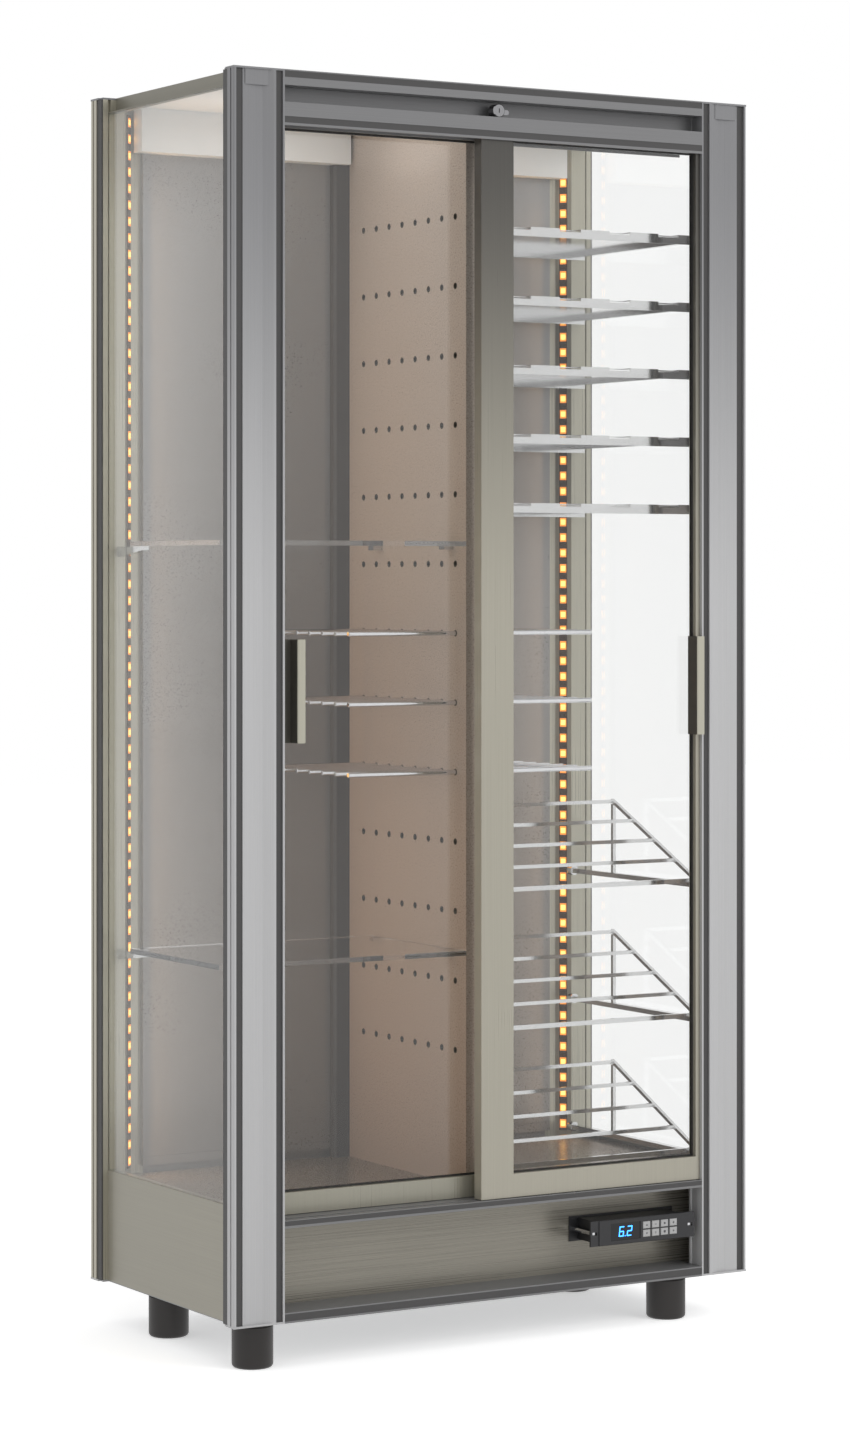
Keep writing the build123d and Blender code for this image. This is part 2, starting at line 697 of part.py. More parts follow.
# ================================================================ panels
def around_posts(half_width, front_y, back_y, z0, z1):
    """A plate between front_y and back_y whose corners step round the four posts."""
    x = POST_INNER_X
    parts = [
        (-x, x, front_y, back_y),
        (-half_width, half_width, front_y, REAR_POST_Y),
        (-half_width, -x, POST_BACK_Y, front_y),
        (x, half_width, POST_BACK_Y, front_y),
    ]
    corner = make_face(Polyline(
        (x, REAR_POST_Y),
        (HALF_W - FACET_START, REAR_POST_Y),
        (HALF_W - FACET_START - FACET, REAR_POST_Y + FACET),
        (x, REAR_POST_Y + FACET),
        close=True,
    ))
    return upright(plan(parts) + corner + mirror(corner, about=Plane.YZ), z0, z1)


def build_panels():
    """Floor, ceiling, roof, base pan and the sheet panels round the base."""
    sill_back = PANEL_Y + SHEET
    floor_z = FLOOR_TOP - FLOOR_THICK
    inner_skin = SKIN_X - SHEET
    save("cabinet_floor", around_posts(inner_skin, sill_back, BACK_IN_Y, floor_z, FLOOR_TOP))
    pan_end = BACK_OUT_Y - SHEET
    save("base_pan", around_posts(inner_skin, sill_back, pan_end, FOOT_HEIGHT, FOOT_HEIGHT + SHEET))
    build_ceiling()
    build_roof()

    skin_bottom = FOOT_HEIGHT + SHEET
    flange_x = RAIL_OUT_X - SHEET
    side_section = section([
        (inner_skin, SKIN_X, skin_bottom, SIDE_BASE_TOP),
        (flange_x, SKIN_X, SIDE_BASE_TOP - SHEET, SIDE_BASE_TOP),
        (flange_x, SKIN_X, skin_bottom, skin_bottom + SHEET),
    ])
    side = extrude(side_plane() * side_section, -(REAR_POST_Y - POST_BACK_Y))
    save("base_side_panels", side, mirrored(side))

    front = block(-POST_INNER_X, POST_INNER_X, PANEL_Y, PANEL_Y + SHEET, BASE_RAIL_TOP, SILL_BOTTOM)
    for x0, x1 in ((-inner_skin, -POST_INNER_X), (POST_INNER_X, inner_skin)):
        front += block(x0, x1, PANEL_Y, PANEL_Y + SHEET, skin_bottom + SHEET, floor_z)
    x0, x1, z0, z1 = housing_limits()
    gap = PANEL_CUT_GAP
    front -= block(x0 - gap, x1 + gap, PANEL_Y - 1, PANEL_Y + SHEET + 1, z0 - gap, z1 + gap)
    save("base_panel_front", front)

    grille = section([(-POST_INNER_X, POST_INNER_X, BASE_RAIL_TOP, SILL_TOP)])
    half_run = LOUVRE_PITCH_X * (LOUVRE_COLUMNS - 1) / 2
    grille -= section([
        louvre(LOUVRE_PITCH_X * i - half_run, LOUVRE_FIRST_Z + LOUVRE_PITCH_Z * j)
        for i in range(LOUVRE_COLUMNS)
        for j in range(LOUVRE_ROWS)
    ])
    flat = Plane(origin=(0, BACK_OUT_Y - SHEET, 0), x_dir=(1, 0, 0), z_dir=(0, -1, 0))
    save("base_grille_rear", extrude(flat * grille, -SHEET))


def louvre(x, z):
    """The limits of one opening of the rear grille."""
    return x - LOUVRE_LENGTH / 2, x + LOUVRE_LENGTH / 2, z - LOUVRE_HEIGHT / 2, z + LOUVRE_HEIGHT / 2


def side_plane():
    """The plane behind the front posts from which side sections run back."""
    return Plane(origin=(0, POST_BACK_Y, 0), x_dir=(1, 0, 0), z_dir=(0, -1, 0))


def build_ceiling():
    """The ceiling, with a bulkhead hanging in front of the back wall in each bay."""
    ceiling = around_posts(RAIL_OUT_X - SHEET, FRONT_Y + HEADER_DEPTH, BACK_IN_Y, CEILING_Z, HEIGHT - SHEET)
    front = BACK_IN_Y - BULKHEAD_THICK
    outer = HALF_W - FACET_START - FACET - BULKHEAD_END
    inner = PARTITION_FACE + BULKHEAD_GAP
    bulkhead = block(inner, outer, front, BACK_IN_Y, CEILING_Z - BULKHEAD_HEIGHT, CEILING_Z)
    save("ceiling_panel", ceiling, bulkhead, mirrored(bulkhead))


def build_roof():
    """The roof sheet, folded down beside the side glass."""
    z_low = HEIGHT - SIDE_RAIL_HEIGHT
    flange_x = RAIL_OUT_X - SHEET
    roof_section = section([
        (-RAIL_OUT_X, RAIL_OUT_X, HEIGHT - SHEET, HEIGHT),
        (flange_x, RAIL_OUT_X, z_low, HEIGHT),
        (-RAIL_OUT_X, -flange_x, z_low, HEIGHT),
        (flange_x, SKIN_X, z_low, z_low + SHEET),
        (-SKIN_X, -flange_x, z_low, z_low + SHEET),
    ])
    header_back = FRONT_Y + HEADER_DEPTH
    roof = extrude(side_plane() * roof_section, -(REAR_POST_Y - POST_BACK_Y))
    roof -= block(-POST_INNER_X, POST_INNER_X, FRONT_Y, header_back, z_low, HEIGHT + 1)
    roof += around_posts(RAIL_OUT_X, header_back, BACK_Y - REAR_HEADER_DEPTH, HEIGHT - SHEET, HEIGHT)
    save("roof_panel", roof)


def build_back():
    """The insulated back wall, with the air slot above the floor, and the channel in front of it."""
    lap_x = POST_INNER_X + BACK_FLANGE_LAP
    top = HEIGHT - REAR_HEADER_HEIGHT
    seam = BACK_SEAM / 2
    wide = (-lap_x, lap_x, BACK_IN_Y)
    inner = block(*wide, BACK_STEP_Y, AIR_SLOT_TOP, top)
    inner -= block(*wide, BACK_IN_Y + BACK_SEAM, BACK_STRIP_TOP - seam, BACK_STRIP_TOP + seam)
    outer = block(-POST_INNER_X, POST_INNER_X, BACK_STEP_Y, BACK_OUT_Y, SILL_TOP, top)
    save("back_panel", inner + outer)

    channel_x = -PARTITION_FACE - CHANNEL_WIDTH
    channel_top = CEILING_Z - BULKHEAD_HEIGHT
    channel = block(channel_x, -PARTITION_FACE, BACK_IN_Y - CHANNEL_DEPTH, BACK_IN_Y, FLOOR_TOP, channel_top)
    save("back_channel", chamfer(channel.edges().filter_by(Axis.Z).sort_by(Axis.Y)[:1], CHANNEL_CHAMFER))


def build_side_glass():
    """A pane each side, held in the posts' slots between the base panel and the top rail."""
    y0 = POST_BACK_Y - GLASS_BITE + SEAT_GAP
    y1 = REAR_POST_Y + GLASS_BITE - SEAT_GAP
    pane = block(GLASS_IN_X, GLASS_OUT_X, y0, y1, SIDE_BASE_TOP, HEIGHT - SIDE_RAIL_HEIGHT)
    save("side_glass_right", pane)
    save("side_glass_left", mirrored(pane))


# ================================================================ partition and shelves
def hole_ys():
    """The Y of each hole in a row."""
    first = PARTITION_Y + HOLE_FRONT_MARGIN
    pitch = (BACK_IN_Y - HOLE_BACK_MARGIN - first) / (HOLE_COLUMNS - 1)
    return [first + pitch * i for i in range(HOLE_COLUMNS)]


def hole_z(row):
    """The height of a row of holes."""
    return HOLE_FIRST_Z + ROW_PITCH * row


def build_partition():
    """The middle wall with its rows of holes, and the rods that lie through three rows."""
    outline = section([(PARTITION_Y, BACK_IN_Y, FLOOR_TOP, CEILING_Z)])
    hole = RegularPolygon(ROD_DIA / 2 + SEAT_GAP, HOLE_SIDES, major_radius=False)
    outline -= Sketch() + [Pos(y, hole_z(row)) * hole for y in hole_ys() for row in range(HOLE_ROWS)]
    flat = Plane(origin=(-PARTITION_FACE, 0, 0), x_dir=(0, 1, 0), z_dir=(1, 0, 0))
    save("partition", extrude(flat * outline, PARTITION_THICK))
    rods = [
        prism_x(ROD_SIDES, ROD_DIA / 2, -ROD_LEFT, ROD_RIGHT, y, hole_z(row))
        for row in ROD_ROWS
        for y in hole_ys()
    ]
    save("rod_shelves", *rods)


def build_glass_shelves():
    """Two glass shelves on the left, with their wedge brackets and clips."""
    x0 = -GLASS_IN_X + SLIDE_GAP
    x1 = -PARTITION_FACE - SEAT_GAP
    y0 = FRONT_Y + GLASS_SHELF_FRONT
    y1 = BACK_IN_Y - GLASS_SHELF_REAR_GAP
    bracket_x = FACET_START - HALF_W - BRACKET_INSET - BRACKET_WIDTH
    flat = Plane(origin=(bracket_x, 0, 0), x_dir=(0, 1, 0), z_dir=(1, 0, 0))
    shelves = []
    supports = []
    for row, lift in zip(GLASS_SHELF_ROWS, GLASS_SHELF_LIFTS):
        top = hole_z(row) + lift
        under = top - GLASS_SHELF_THICK
        shelves.append(block(x0, x1, y0, y1, under, top))
        for root_y, tip_y in ((REAR_POST_Y, y1 - BRACKET_LAP), (POST_BACK_Y, y0 + BRACKET_LAP)):
            wedge = make_face(Polyline(
                (root_y, under), (tip_y, under), (tip_y, under - BRACKET_TIP), (root_y, under - BRACKET_ROOT),
                close=True,
            ))
            supports.append(extrude(flat * wedge, BRACKET_WIDTH))
        for clip_y in (y0 + CLIP_INSET, y1 - CLIP_INSET):
            clip = (-PARTITION_FACE - CLIP_REACH, -PARTITION_FACE, clip_y, clip_y + CLIP_WIDTH)
            supports.append(block(*clip, under - CLIP_THICK, under))
    save("glass_shelves", *shelves)
    return supports


def notch_xs():
    """The middle of each neck notch in a tray."""
    first = BOTTLE_SHELF_LEFT + NOTCH_LEFT_MARGIN
    last = BOTTLE_SHELF_RIGHT - NOTCH_RIGHT_MARGIN
    pitch = (last - first) / (BOTTLES_PER_SHELF - 1)
    return [first + pitch * i for i in range(BOTTLES_PER_SHELF)]


def bottle_shelf(top):
    """A folded sheet tray whose front edge is notched for the necks of the bottles."""
    y0 = FRONT_Y + BOTTLE_SHELF_FRONT
    y1 = BACK_IN_Y - BOTTLE_SHELF_REAR_GAP
    x0 = BOTTLE_SHELF_LEFT
    x1 = BOTTLE_SHELF_RIGHT
    under = top - TRAY_SHEET
    low = top - TRAY_FLANGE
    pieces = [
        block(x0, x1, y0 + NOTCH_RUN, y1, under, top),
        block(x0, x1, y1 - TRAY_SHEET, y1, low, under),
        block(x0, x1, y0, y0 + TRAY_SHEET, low, top - NOTCH_DEPTH),
    ]
    half = NOTCH_WIDTH / 2
    starts = [x0] + [x + half for x in notch_xs()]
    ends = [x - half for x in notch_xs()] + [x1]
    finger = [(y0, y0 + NOTCH_RUN, under, top), (y0, y0 + TRAY_SHEET, top - NOTCH_DEPTH, top)]
    pieces += [lengthwise(finger, start, end) for start, end in zip(starts, ends)]
    return pieces


def display_shelf(z0):
    """A sloping wire rack: front bar, side arms, cross bars and rear legs."""
    y0 = FRONT_Y + DISPLAY_FRONT
    y1 = y0 + DISPLAY_RUN
    slope = DISPLAY_RISE / DISPLAY_RUN
    half = DISPLAY_WIRE / 2
    z1 = z0 + DISPLAY_BAR
    arm_y = y0 + DISPLAY_WIRE
    arm_z = z1 + slope * DISPLAY_WIRE
    top = z1 + DISPLAY_RISE
    leg_y = y1 - DISPLAY_WIRE
    leg_top = top - DISPLAY_WIRE - slope * DISPLAY_WIRE
    bars = [block(DISPLAY_LEFT, DISPLAY_RIGHT, y0, arm_y, z0, z1)]
    for x in (DISPLAY_LEFT, DISPLAY_RIGHT - DISPLAY_WIRE):
        arm = make_face(Polyline(
            (arm_y, arm_z - DISPLAY_WIRE), (y1, top - DISPLAY_WIRE), (y1, top), (arm_y, arm_z), close=True
        ))
        flat = Plane(origin=(x, 0, 0), x_dir=(0, 1, 0), z_dir=(1, 0, 0))
        bars.append(extrude(flat * arm, DISPLAY_WIRE))
        bars.append(block(x, x + DISPLAY_WIRE, leg_y, y1, z0, leg_top))
    for i in range(1, DISPLAY_CROSS_BARS + 1):
        run = (DISPLAY_RUN - half) * i / DISPLAY_CROSS_BARS
        z = z1 - half + slope * run
        ends = (DISPLAY_LEFT + DISPLAY_WIRE, DISPLAY_RIGHT - DISPLAY_WIRE)
        bars.append(block(*ends, y0 + run - half, y0 + run + half, z - half, z + half))
    return bars


def shelf_rail(x0, top, start_y, end_y):
    """A rail that carries one end of a shelf."""
    return block(x0, x0 + RAIL_WIDTH, start_y, end_y, top - RAIL_HEIGHT, top)


def tray_peg(y, top, peg_z):
    """A peg in the middle wall, with a drop and a toe that carry the left edge of a tray."""
    bar_x = BOTTLE_SHELF_LEFT - PEG_BAR
    toe_z = top - TRAY_SHEET - PEG_TOE_THICK
    half = PEG_WIDTH / 2
    peg = prism_x(ROD_SIDES, ROD_DIA / 2, PARTITION_FACE - PEG_REACH, bar_x, y, peg_z)
    drop = block(bar_x, BOTTLE_SHELF_LEFT, y - half, y + half, toe_z, peg_z + half)
    toe = block(BOTTLE_SHELF_LEFT, BOTTLE_SHELF_LEFT + PEG_TOE, y - half, y + half, toe_z, top - TRAY_SHEET)
    return peg + drop + toe


def build_right_shelves():
    """Trays above and sloping racks below, each on a rail beside the side glass."""
    rail_y = (POST_BACK_Y + STUD_LENGTH, REAR_POST_Y - STUD_LENGTH)
    supports = []
    trays = []
    racks = []
    for i in range(BOTTLE_SHELVES):
        peg_z = hole_z(HOLE_ROWS - BOTTLE_SHELVES + i)
        top = peg_z - BOTTLE_SHELF_DROP
        trays += bottle_shelf(top)
        supports.append(shelf_rail(BOTTLE_SHELF_RIGHT, top, *rail_y))
        supports += studs(BOTTLE_SHELF_RIGHT + RAIL_WIDTH / 2, top - RAIL_HEIGHT / 2)
        supports += [tray_peg(hole_ys()[column], top, peg_z) for column in PEG_COLUMNS]
    for i in range(DISPLAY_SHELVES):
        z0 = FLOOR_TOP + DISPLAY_LIFT + 2 * ROW_PITCH * i
        racks += display_shelf(z0)
        supports.append(shelf_rail(PARTITION_FACE, z0, PARTITION_Y - LEFT_RAIL_LEAD, BACK_IN_Y))
        supports.append(shelf_rail(DISPLAY_RAIL_X, z0, *rail_y))
        supports += studs(DISPLAY_RAIL_X + RAIL_WIDTH / 2, z0 - RAIL_HEIGHT / 2)
    save("bottle_shelves", *trays)
    save("display_shelves", *racks)
    return supports


def studs(x, z):
    """Studs that fix a rail to the front and rear posts."""
    front = prism_y(STUD_SIDES, STUD_DIA / 2, POST_BACK_Y, POST_BACK_Y + STUD_LENGTH, x, z)
    rear = prism_y(STUD_SIDES, STUD_DIA / 2, REAR_POST_Y - STUD_LENGTH, REAR_POST_Y, x, z)
    return [front, rear]


def build_lights():
    """A strip of lamps along the slanted face of each rear post."""
    middle = FACET_START + FACET / 2
    x = HALF_W - middle
    y = REAR_POST_Y + FACET / 2
    out = LED_THICK / 2 / sqrt(2)
    length = CEILING_Z - FLOOR_TOP - 2 * LED_MARGIN
    middle_z = (CEILING_Z + FLOOR_TOP) / 2
    strip = Pos(x - out, y - out, middle_z) * Rot(0, 0, -45) * Box(LED_WIDTH, LED_THICK, length)
    save("led_strips", strip, mirrored(strip))


# ================================================================ control panel
def housing_limits():
    """X and Z limits of the controller's housing."""
    x0 = BEZEL_LEFT + EAR_WIDTH
    x1 = BEZEL_LEFT + BEZEL_WIDTH - EAR_WIDTH
    z0 = BEZEL_BOTTOM + HOUSING_MARGIN
    return x0, x1, z0, BEZEL_BOTTOM + BEZEL_HEIGHT - HOUSING_MARGIN


def key_centres():
    """The centre of each key, upper row first."""
    first = BEZEL_LEFT + KEY_INSET
    rows = (KEY_PITCH_Z / 2, -KEY_PITCH_Z / 2)
    return [(first + KEY_PITCH_X * i, BEZEL_MID_Z + dz) for dz in rows for i in range(KEY_COLUMNS)]


def ear_slots():
    """The stepped ends of the front plate and the screw slots in them."""
    cuts = []
    half_w = SCREW_SLOT_LENGTH / 2
    half_h = SCREW_SLOT / 2
    for ear_x in (BEZEL_LEFT, BEZEL_LEFT + BEZEL_WIDTH - EAR_WIDTH):
        step = (ear_x, ear_x + EAR_WIDTH, BEZEL_Y - 1, BEZEL_Y + EAR_STEP)
        cuts.append(block(*step, BEZEL_BOTTOM - 1, BEZEL_BOTTOM + BEZEL_HEIGHT + 1))
        x = ear_x + EAR_WIDTH / 2
        slot = (x - half_w, x + half_w, BEZEL_Y - 1, BEZEL_BACK_Y + 1)
        cuts.append(block(*slot, BEZEL_MID_Z - half_h, BEZEL_MID_Z + half_h))
    return cuts


def build_bezel(window):
    """The front plate, open for the display and the keys."""
    ends = (BEZEL_LEFT, BEZEL_LEFT + BEZEL_WIDTH)
    bezel = block(*ends, BEZEL_Y, BEZEL_BACK_Y, BEZEL_BOTTOM, BEZEL_BOTTOM + BEZEL_HEIGHT)
    bezel = chamfer(bezel.edges().group_by(Axis.Y)[0], BEZEL_CHAMFER)
    for cut in ear_slots():
        bezel -= cut
    x0, x1, z0, z1 = window
    bezel -= block(x0, x1, BEZEL_Y - 1, BEZEL_BACK_Y + 1, z0, z1)
    half_w = KEY_WIDTH / 2 + KEY_GAP
    half_h = KEY_HEIGHT / 2 + KEY_GAP
    for x, z in key_centres():
        bezel -= block(x - half_w, x + half_w, BEZEL_Y - 1, BEZEL_BACK_Y + 1, z - half_h, z + half_h)
    save("controller_bezel", bezel)


def build_housing():
    """The box behind the front plate, with a well for each key, and its mounting plate."""
    x0, x1, z0, z1 = housing_limits()
    housing = block(x0, x1, BEZEL_BACK_Y, PANEL_Y + SHEET + HOUSING_TAIL, z0, z1)
    ends = (BEZEL_LEFT, BEZEL_LEFT + BEZEL_WIDTH)
    housing += block(*ends, PANEL_Y - SHEET, PANEL_Y, BEZEL_BOTTOM, BEZEL_BOTTOM + BEZEL_HEIGHT)
    half_w = KEY_WIDTH / 2 + KEY_WELL_GAP
    half_h = KEY_HEIGHT / 2 + KEY_WELL_GAP
    for x, z in key_centres():
        well = (x - half_w, x + half_w, BEZEL_BACK_Y - 1, BEZEL_BACK_Y + KEY_STEM)
        housing -= block(*well, z - half_h, z + half_h)
    save("controller_housing", housing)


def build_controller():
    """Front plate, housing, display window, standoffs and eight keys."""
    window_x = BEZEL_LEFT + WINDOW_INSET
    low = BEZEL_MID_Z - WINDOW_HEIGHT / 2
    high = BEZEL_MID_Z + WINDOW_HEIGHT / 2
    build_bezel((window_x, window_x + WINDOW_WIDTH, low, high))
    build_housing()
    pane_x = (window_x + SEAT_GAP, window_x + WINDOW_WIDTH - SEAT_GAP)
    pane = block(*pane_x, BEZEL_Y + DISPLAY_SETBACK, BEZEL_BACK_Y, low + SEAT_GAP, high - SEAT_GAP)
    save("controller_display", pane)

    ear_xs = (BEZEL_LEFT + EAR_WIDTH / 2, BEZEL_LEFT + BEZEL_WIDTH - EAR_WIDTH / 2)
    radius = STANDOFF_WIDTH / 2
    ends = (BEZEL_BACK_Y, PANEL_Y - SHEET)
    save("controller_standoffs", *[prism_y(STANDOFF_SIDES, radius, *ends, x, BEZEL_MID_Z) for x in ear_xs])

    cap_y = BEZEL_Y - KEY_PROUD
    stem_y = cap_y + KEY_LENGTH
    stem_end = BEZEL_BACK_Y + KEY_STEM - KEY_TRAVEL - KEY_STOP_GAP
    half = KEY_STEM_WIDTH / 2
    for i, (x, z) in enumerate(key_centres(), start=1):
        face = (x - KEY_WIDTH / 2, x + KEY_WIDTH / 2, cap_y, stem_y, z - KEY_HEIGHT / 2, z + KEY_HEIGHT / 2)
        cap = block(*face)
        cap = chamfer(cap.edges().group_by(Axis.Y)[0], KEY_CHAMFER)
        save(f"key_{i}", cap + block(x - half, x + half, stem_y, stem_end, z - half, z + half))


# ================================================================ lock
def cam_reach(depth):
    """How far to the side the turning cam reaches at a depth below the lock's axis."""
    return sqrt(CAM_LENGTH ** 2 - depth ** 2)


def build_lock():
    """The lock's barrel in the header recess and the plug that turns the cam."""
    z = RECESS_FLOOR_Z + LOCK_DIA / 2
    y0 = FRONT_Y + LOCK_SETBACK
    y1 = y0 + LOCK_LENGTH
    barrel = along_y(LOCK_DIA / 2, y0, y1, 0, z)
    barrel = chamfer(barrel.edges().group_by(Axis.Y)[0], LOCK_CHAMFER)
    barrel -= along_y(PLUG_DIA / 2 + PIN_GAP, y0 - 1, y1 + 1, 0, z)
    save("lock_cylinder", barrel)

    cam_y = y1 + CAM_GAP
    plug = along_y(PLUG_DIA / 2, y0, cam_y, 0, z)
    half_w = KEYWAY_WIDTH / 2
    half_h = KEYWAY_HEIGHT / 2
    plug -= block(-half_w, half_w, y0 - 1, y0 + KEYWAY_DEPTH, z - half_h, z + half_h)
    reach = CAM_LENGTH - CAM_WIDTH / 2
    flat = Plane(origin=(reach / 2, cam_y, z), x_dir=(1, 0, 0), z_dir=(0, -1, 0))
    save("lock_plug", plug + extrude(flat * SlotCenterToCenter(reach, CAM_WIDTH), -CAM_THICK))


# ================================================================ doors
def roller_xs(x0, x1):
    """Where the two rollers of a door stand."""
    return [x0 + ROLLER_INSET, x1 - ROLLER_INSET]


def door(name, setback, stiles, rail_height, guides=()):
    """One sliding door: frame with roller pockets and pins, guide blocks on its head, pane and rollers."""
    y0 = FRONT_Y + setback
    y1 = y0 + DOOR_THICK
    (a0, a1, bite_a), (b0, b1, bite_b) = stiles
    pane_y = y0 + PANE_SETBACK
    rail_top = DOOR_BOTTOM + rail_height
    top_rail = DOOR_TOP - TOP_RAIL_HEIGHT
    pane_x = (a1 - bite_a, b0 + bite_b)
    pane_z = (rail_top - PANE_BITE, top_rail + PANE_BITE)
    slot = block(
        pane_x[0] - SEAT_GAP, pane_x[1] + SEAT_GAP,
        pane_y - SEAT_GAP, pane_y + PANE + SEAT_GAP,
        pane_z[0] - SEAT_GAP, pane_z[1] + SEAT_GAP,
    )
    centre = (y0 + y1) / 2
    axle_z = SILL_TOP - TRACK_DEPTH + TRACK_GAP + ROLLER_DIA / 2
    rail = block(a1, b0, y0, y1, DOOR_BOTTOM, rail_top) - slot
    wall = POCKET_GAP + ROLLER_DIA / 2
    half = ROLLER_WIDTH / 2
    pocket_half = half + POCKET_GAP / 2
    pin_half = half + PIN_SEAT
    for x in roller_xs(a1, b0):
        pocket = (x - wall, x + wall, centre - pocket_half, centre + pocket_half)
        rail -= block(*pocket, DOOR_BOTTOM - 1, axle_z + wall)
        rail += along_y(ROLLER_PIN / 2, centre - pin_half, centre + pin_half, x, axle_z)
    head_top = DOOR_TOP - GUIDE_HEIGHT if guides else DOOR_TOP
    stile_a = block(a0, a1, y0, y1, DOOR_BOTTOM, head_top) - slot
    stile_b = block(b0, b1, y0, y1, DOOR_BOTTOM, DOOR_TOP) - slot
    head = block(a1, b0, y0, y1, top_rail, head_top) - slot
    blocks = [block(x0, x1, y0, y1, head_top, DOOR_TOP) for x0, x1 in guides]
    save(f"{name}_frame", stile_a, stile_b, rail, head, *blocks)
    save(f"{name}_glass", block(*pane_x, pane_y, pane_y + PANE, *pane_z))
    for side, x in zip(("left", "right"), roller_xs(a1, b0)):
        wheel = RegularPolygon(ROLLER_DIA / 2, ROLLER_SIDES) - Circle(ROLLER_PIN / 2 + PIN_GAP)
        flat = Plane(origin=(x, centre + half, axle_z), x_dir=(1, 0, 0), z_dir=(0, -1, 0))
        save(f"{name}_roller_{side}", extrude(flat * wheel, ROLLER_WIDTH))
    return pane_y


def handle_section(y_front, y_glass, x_web, foot_x):
    """Plan of a folded pull: a flange to the right of the web, and a foot on the glass out to foot_x."""
    return plan([
        (x_web, x_web + HANDLE_FLANGE, y_front, y_front + HANDLE_WALL),
        (x_web, x_web + HANDLE_WALL, y_front, y_glass),
        (min(foot_x, x_web), max(foot_x, x_web + HANDLE_WALL), y_glass - HANDLE_WALL, y_glass),
    ])


def build_doors():
    """The front door runs on the right, the rear one on the left.

    The guide blocks on the head of the front door leave a notch for the lock's cam where the door is
    shut, and another where it is fully open.
    """
    left = WIDE_STILE_CENTRE - WIDE_STILE / 2
    right = WIDE_STILE_CENTRE + WIDE_STILE / 2
    front_stiles = (
        (left, right, PANE_BITE),
        (DOOR_OUT_X - SLIM_STILE, DOOR_OUT_X, SLIM_BITE),
    )
    guides = (
        (left, -GUIDE_LEFT),
        (GUIDE_RIGHT, DOOR_TRAVEL - GUIDE_LEFT),
        (DOOR_TRAVEL + GUIDE_RIGHT, DOOR_OUT_X - SLIM_STILE),
    )
    rear_stiles = (
        (-DOOR_OUT_X, SLIM_STILE - DOOR_OUT_X, SLIM_BITE),
        (REAR_DOOR_EDGE - EDGE_STILE, REAR_DOOR_EDGE, SLIM_BITE),
    )
    front_pane = door("front_door", FRONT_DOOR_SETBACK, front_stiles, FRONT_RAIL_HEIGHT, guides)
    rear_pane = door("rear_door", REAR_DOOR_SETBACK, rear_stiles, REAR_RAIL_HEIGHT)

    z1 = HANDLE_BOTTOM + HANDLE_LENGTH
    foot_x = DOOR_OUT_X - SLIM_STILE - SEAT_GAP
    front_web = foot_x - FRONT_HANDLE_FOOT - HANDLE_WALL
    pull = handle_section(FRONT_Y - HANDLE_PROUD, front_pane, front_web, foot_x)
    save("front_door_handle", upright(pull, HANDLE_BOTTOM, z1))
    rear_foot = SLIM_STILE + REAR_HANDLE_INSET - DOOR_OUT_X
    rear_web = rear_foot + REAR_HANDLE_FOOT
    rear_front = FRONT_Y + FRONT_DOOR_SETBACK + DOOR_THICK + REAR_HANDLE_CLEAR
    pull = handle_section(rear_front, rear_pane, rear_web, rear_foot)
    save("rear_door_handle", upright(pull, HANDLE_BOTTOM, z1))


# ================================================================ feet and cooling unit
def turned(points):
    """A solid turned about Z from (radius, height) points."""
    return revolve(Plane.XZ * make_face(Polyline(*points, close=True)), Axis.Z)


def build_feet():
    """Four round feet, each a turned shape with a bevelled lower edge."""
    radius = FOOT_DIA / 2
    edge = [(radius - FOOT_EDGE, 0), (radius, FOOT_EDGE), (radius, FOOT_HEIGHT)]
    foot = turned([(0, 0), *edge, (0, FOOT_HEIGHT)])
    xs = (-HALF_W + FOOT_LEFT_INSET, HALF_W - FOOT_RIGHT_INSET)
    y = FRONT_Y + FOOT_FRONT_INSET
    save("feet", *[Pos(x, y + dy, 0) * foot for x in xs for dy in (0, FOOT_PITCH_Y)])


def fan_rotor(x, y, z):
    """A hub with pitched blades, turning about an axis along Y."""
    hub = prism_y(FAN_HUB_SIDES, FAN_HUB / 2, y, y + FAN_DEPTH, x, z)
    root = FAN_HUB / 2 - BLADE_ROOT
    blade_length = FAN_DIA / 2 - root
    blade = Rot(FAN_PITCH, 0, 0) * Box(blade_length, BLADE_CHORD, BLADE_THICK)
    blade = Pos(root + blade_length / 2, 0, 0) * blade
    for i in range(FAN_BLADES):
        hub += Pos(x, y + FAN_DEPTH / 2, z) * Rot(0, 360 / FAN_BLADES * i, 0) * blade
    bore_y = y + FAN_DEPTH - FAN_SHAFT_REACH - SLIDE_GAP
    return hub - along_y(FAN_SHAFT / 2 + PIN_GAP, bore_y, y + FAN_DEPTH + 1, x, z)


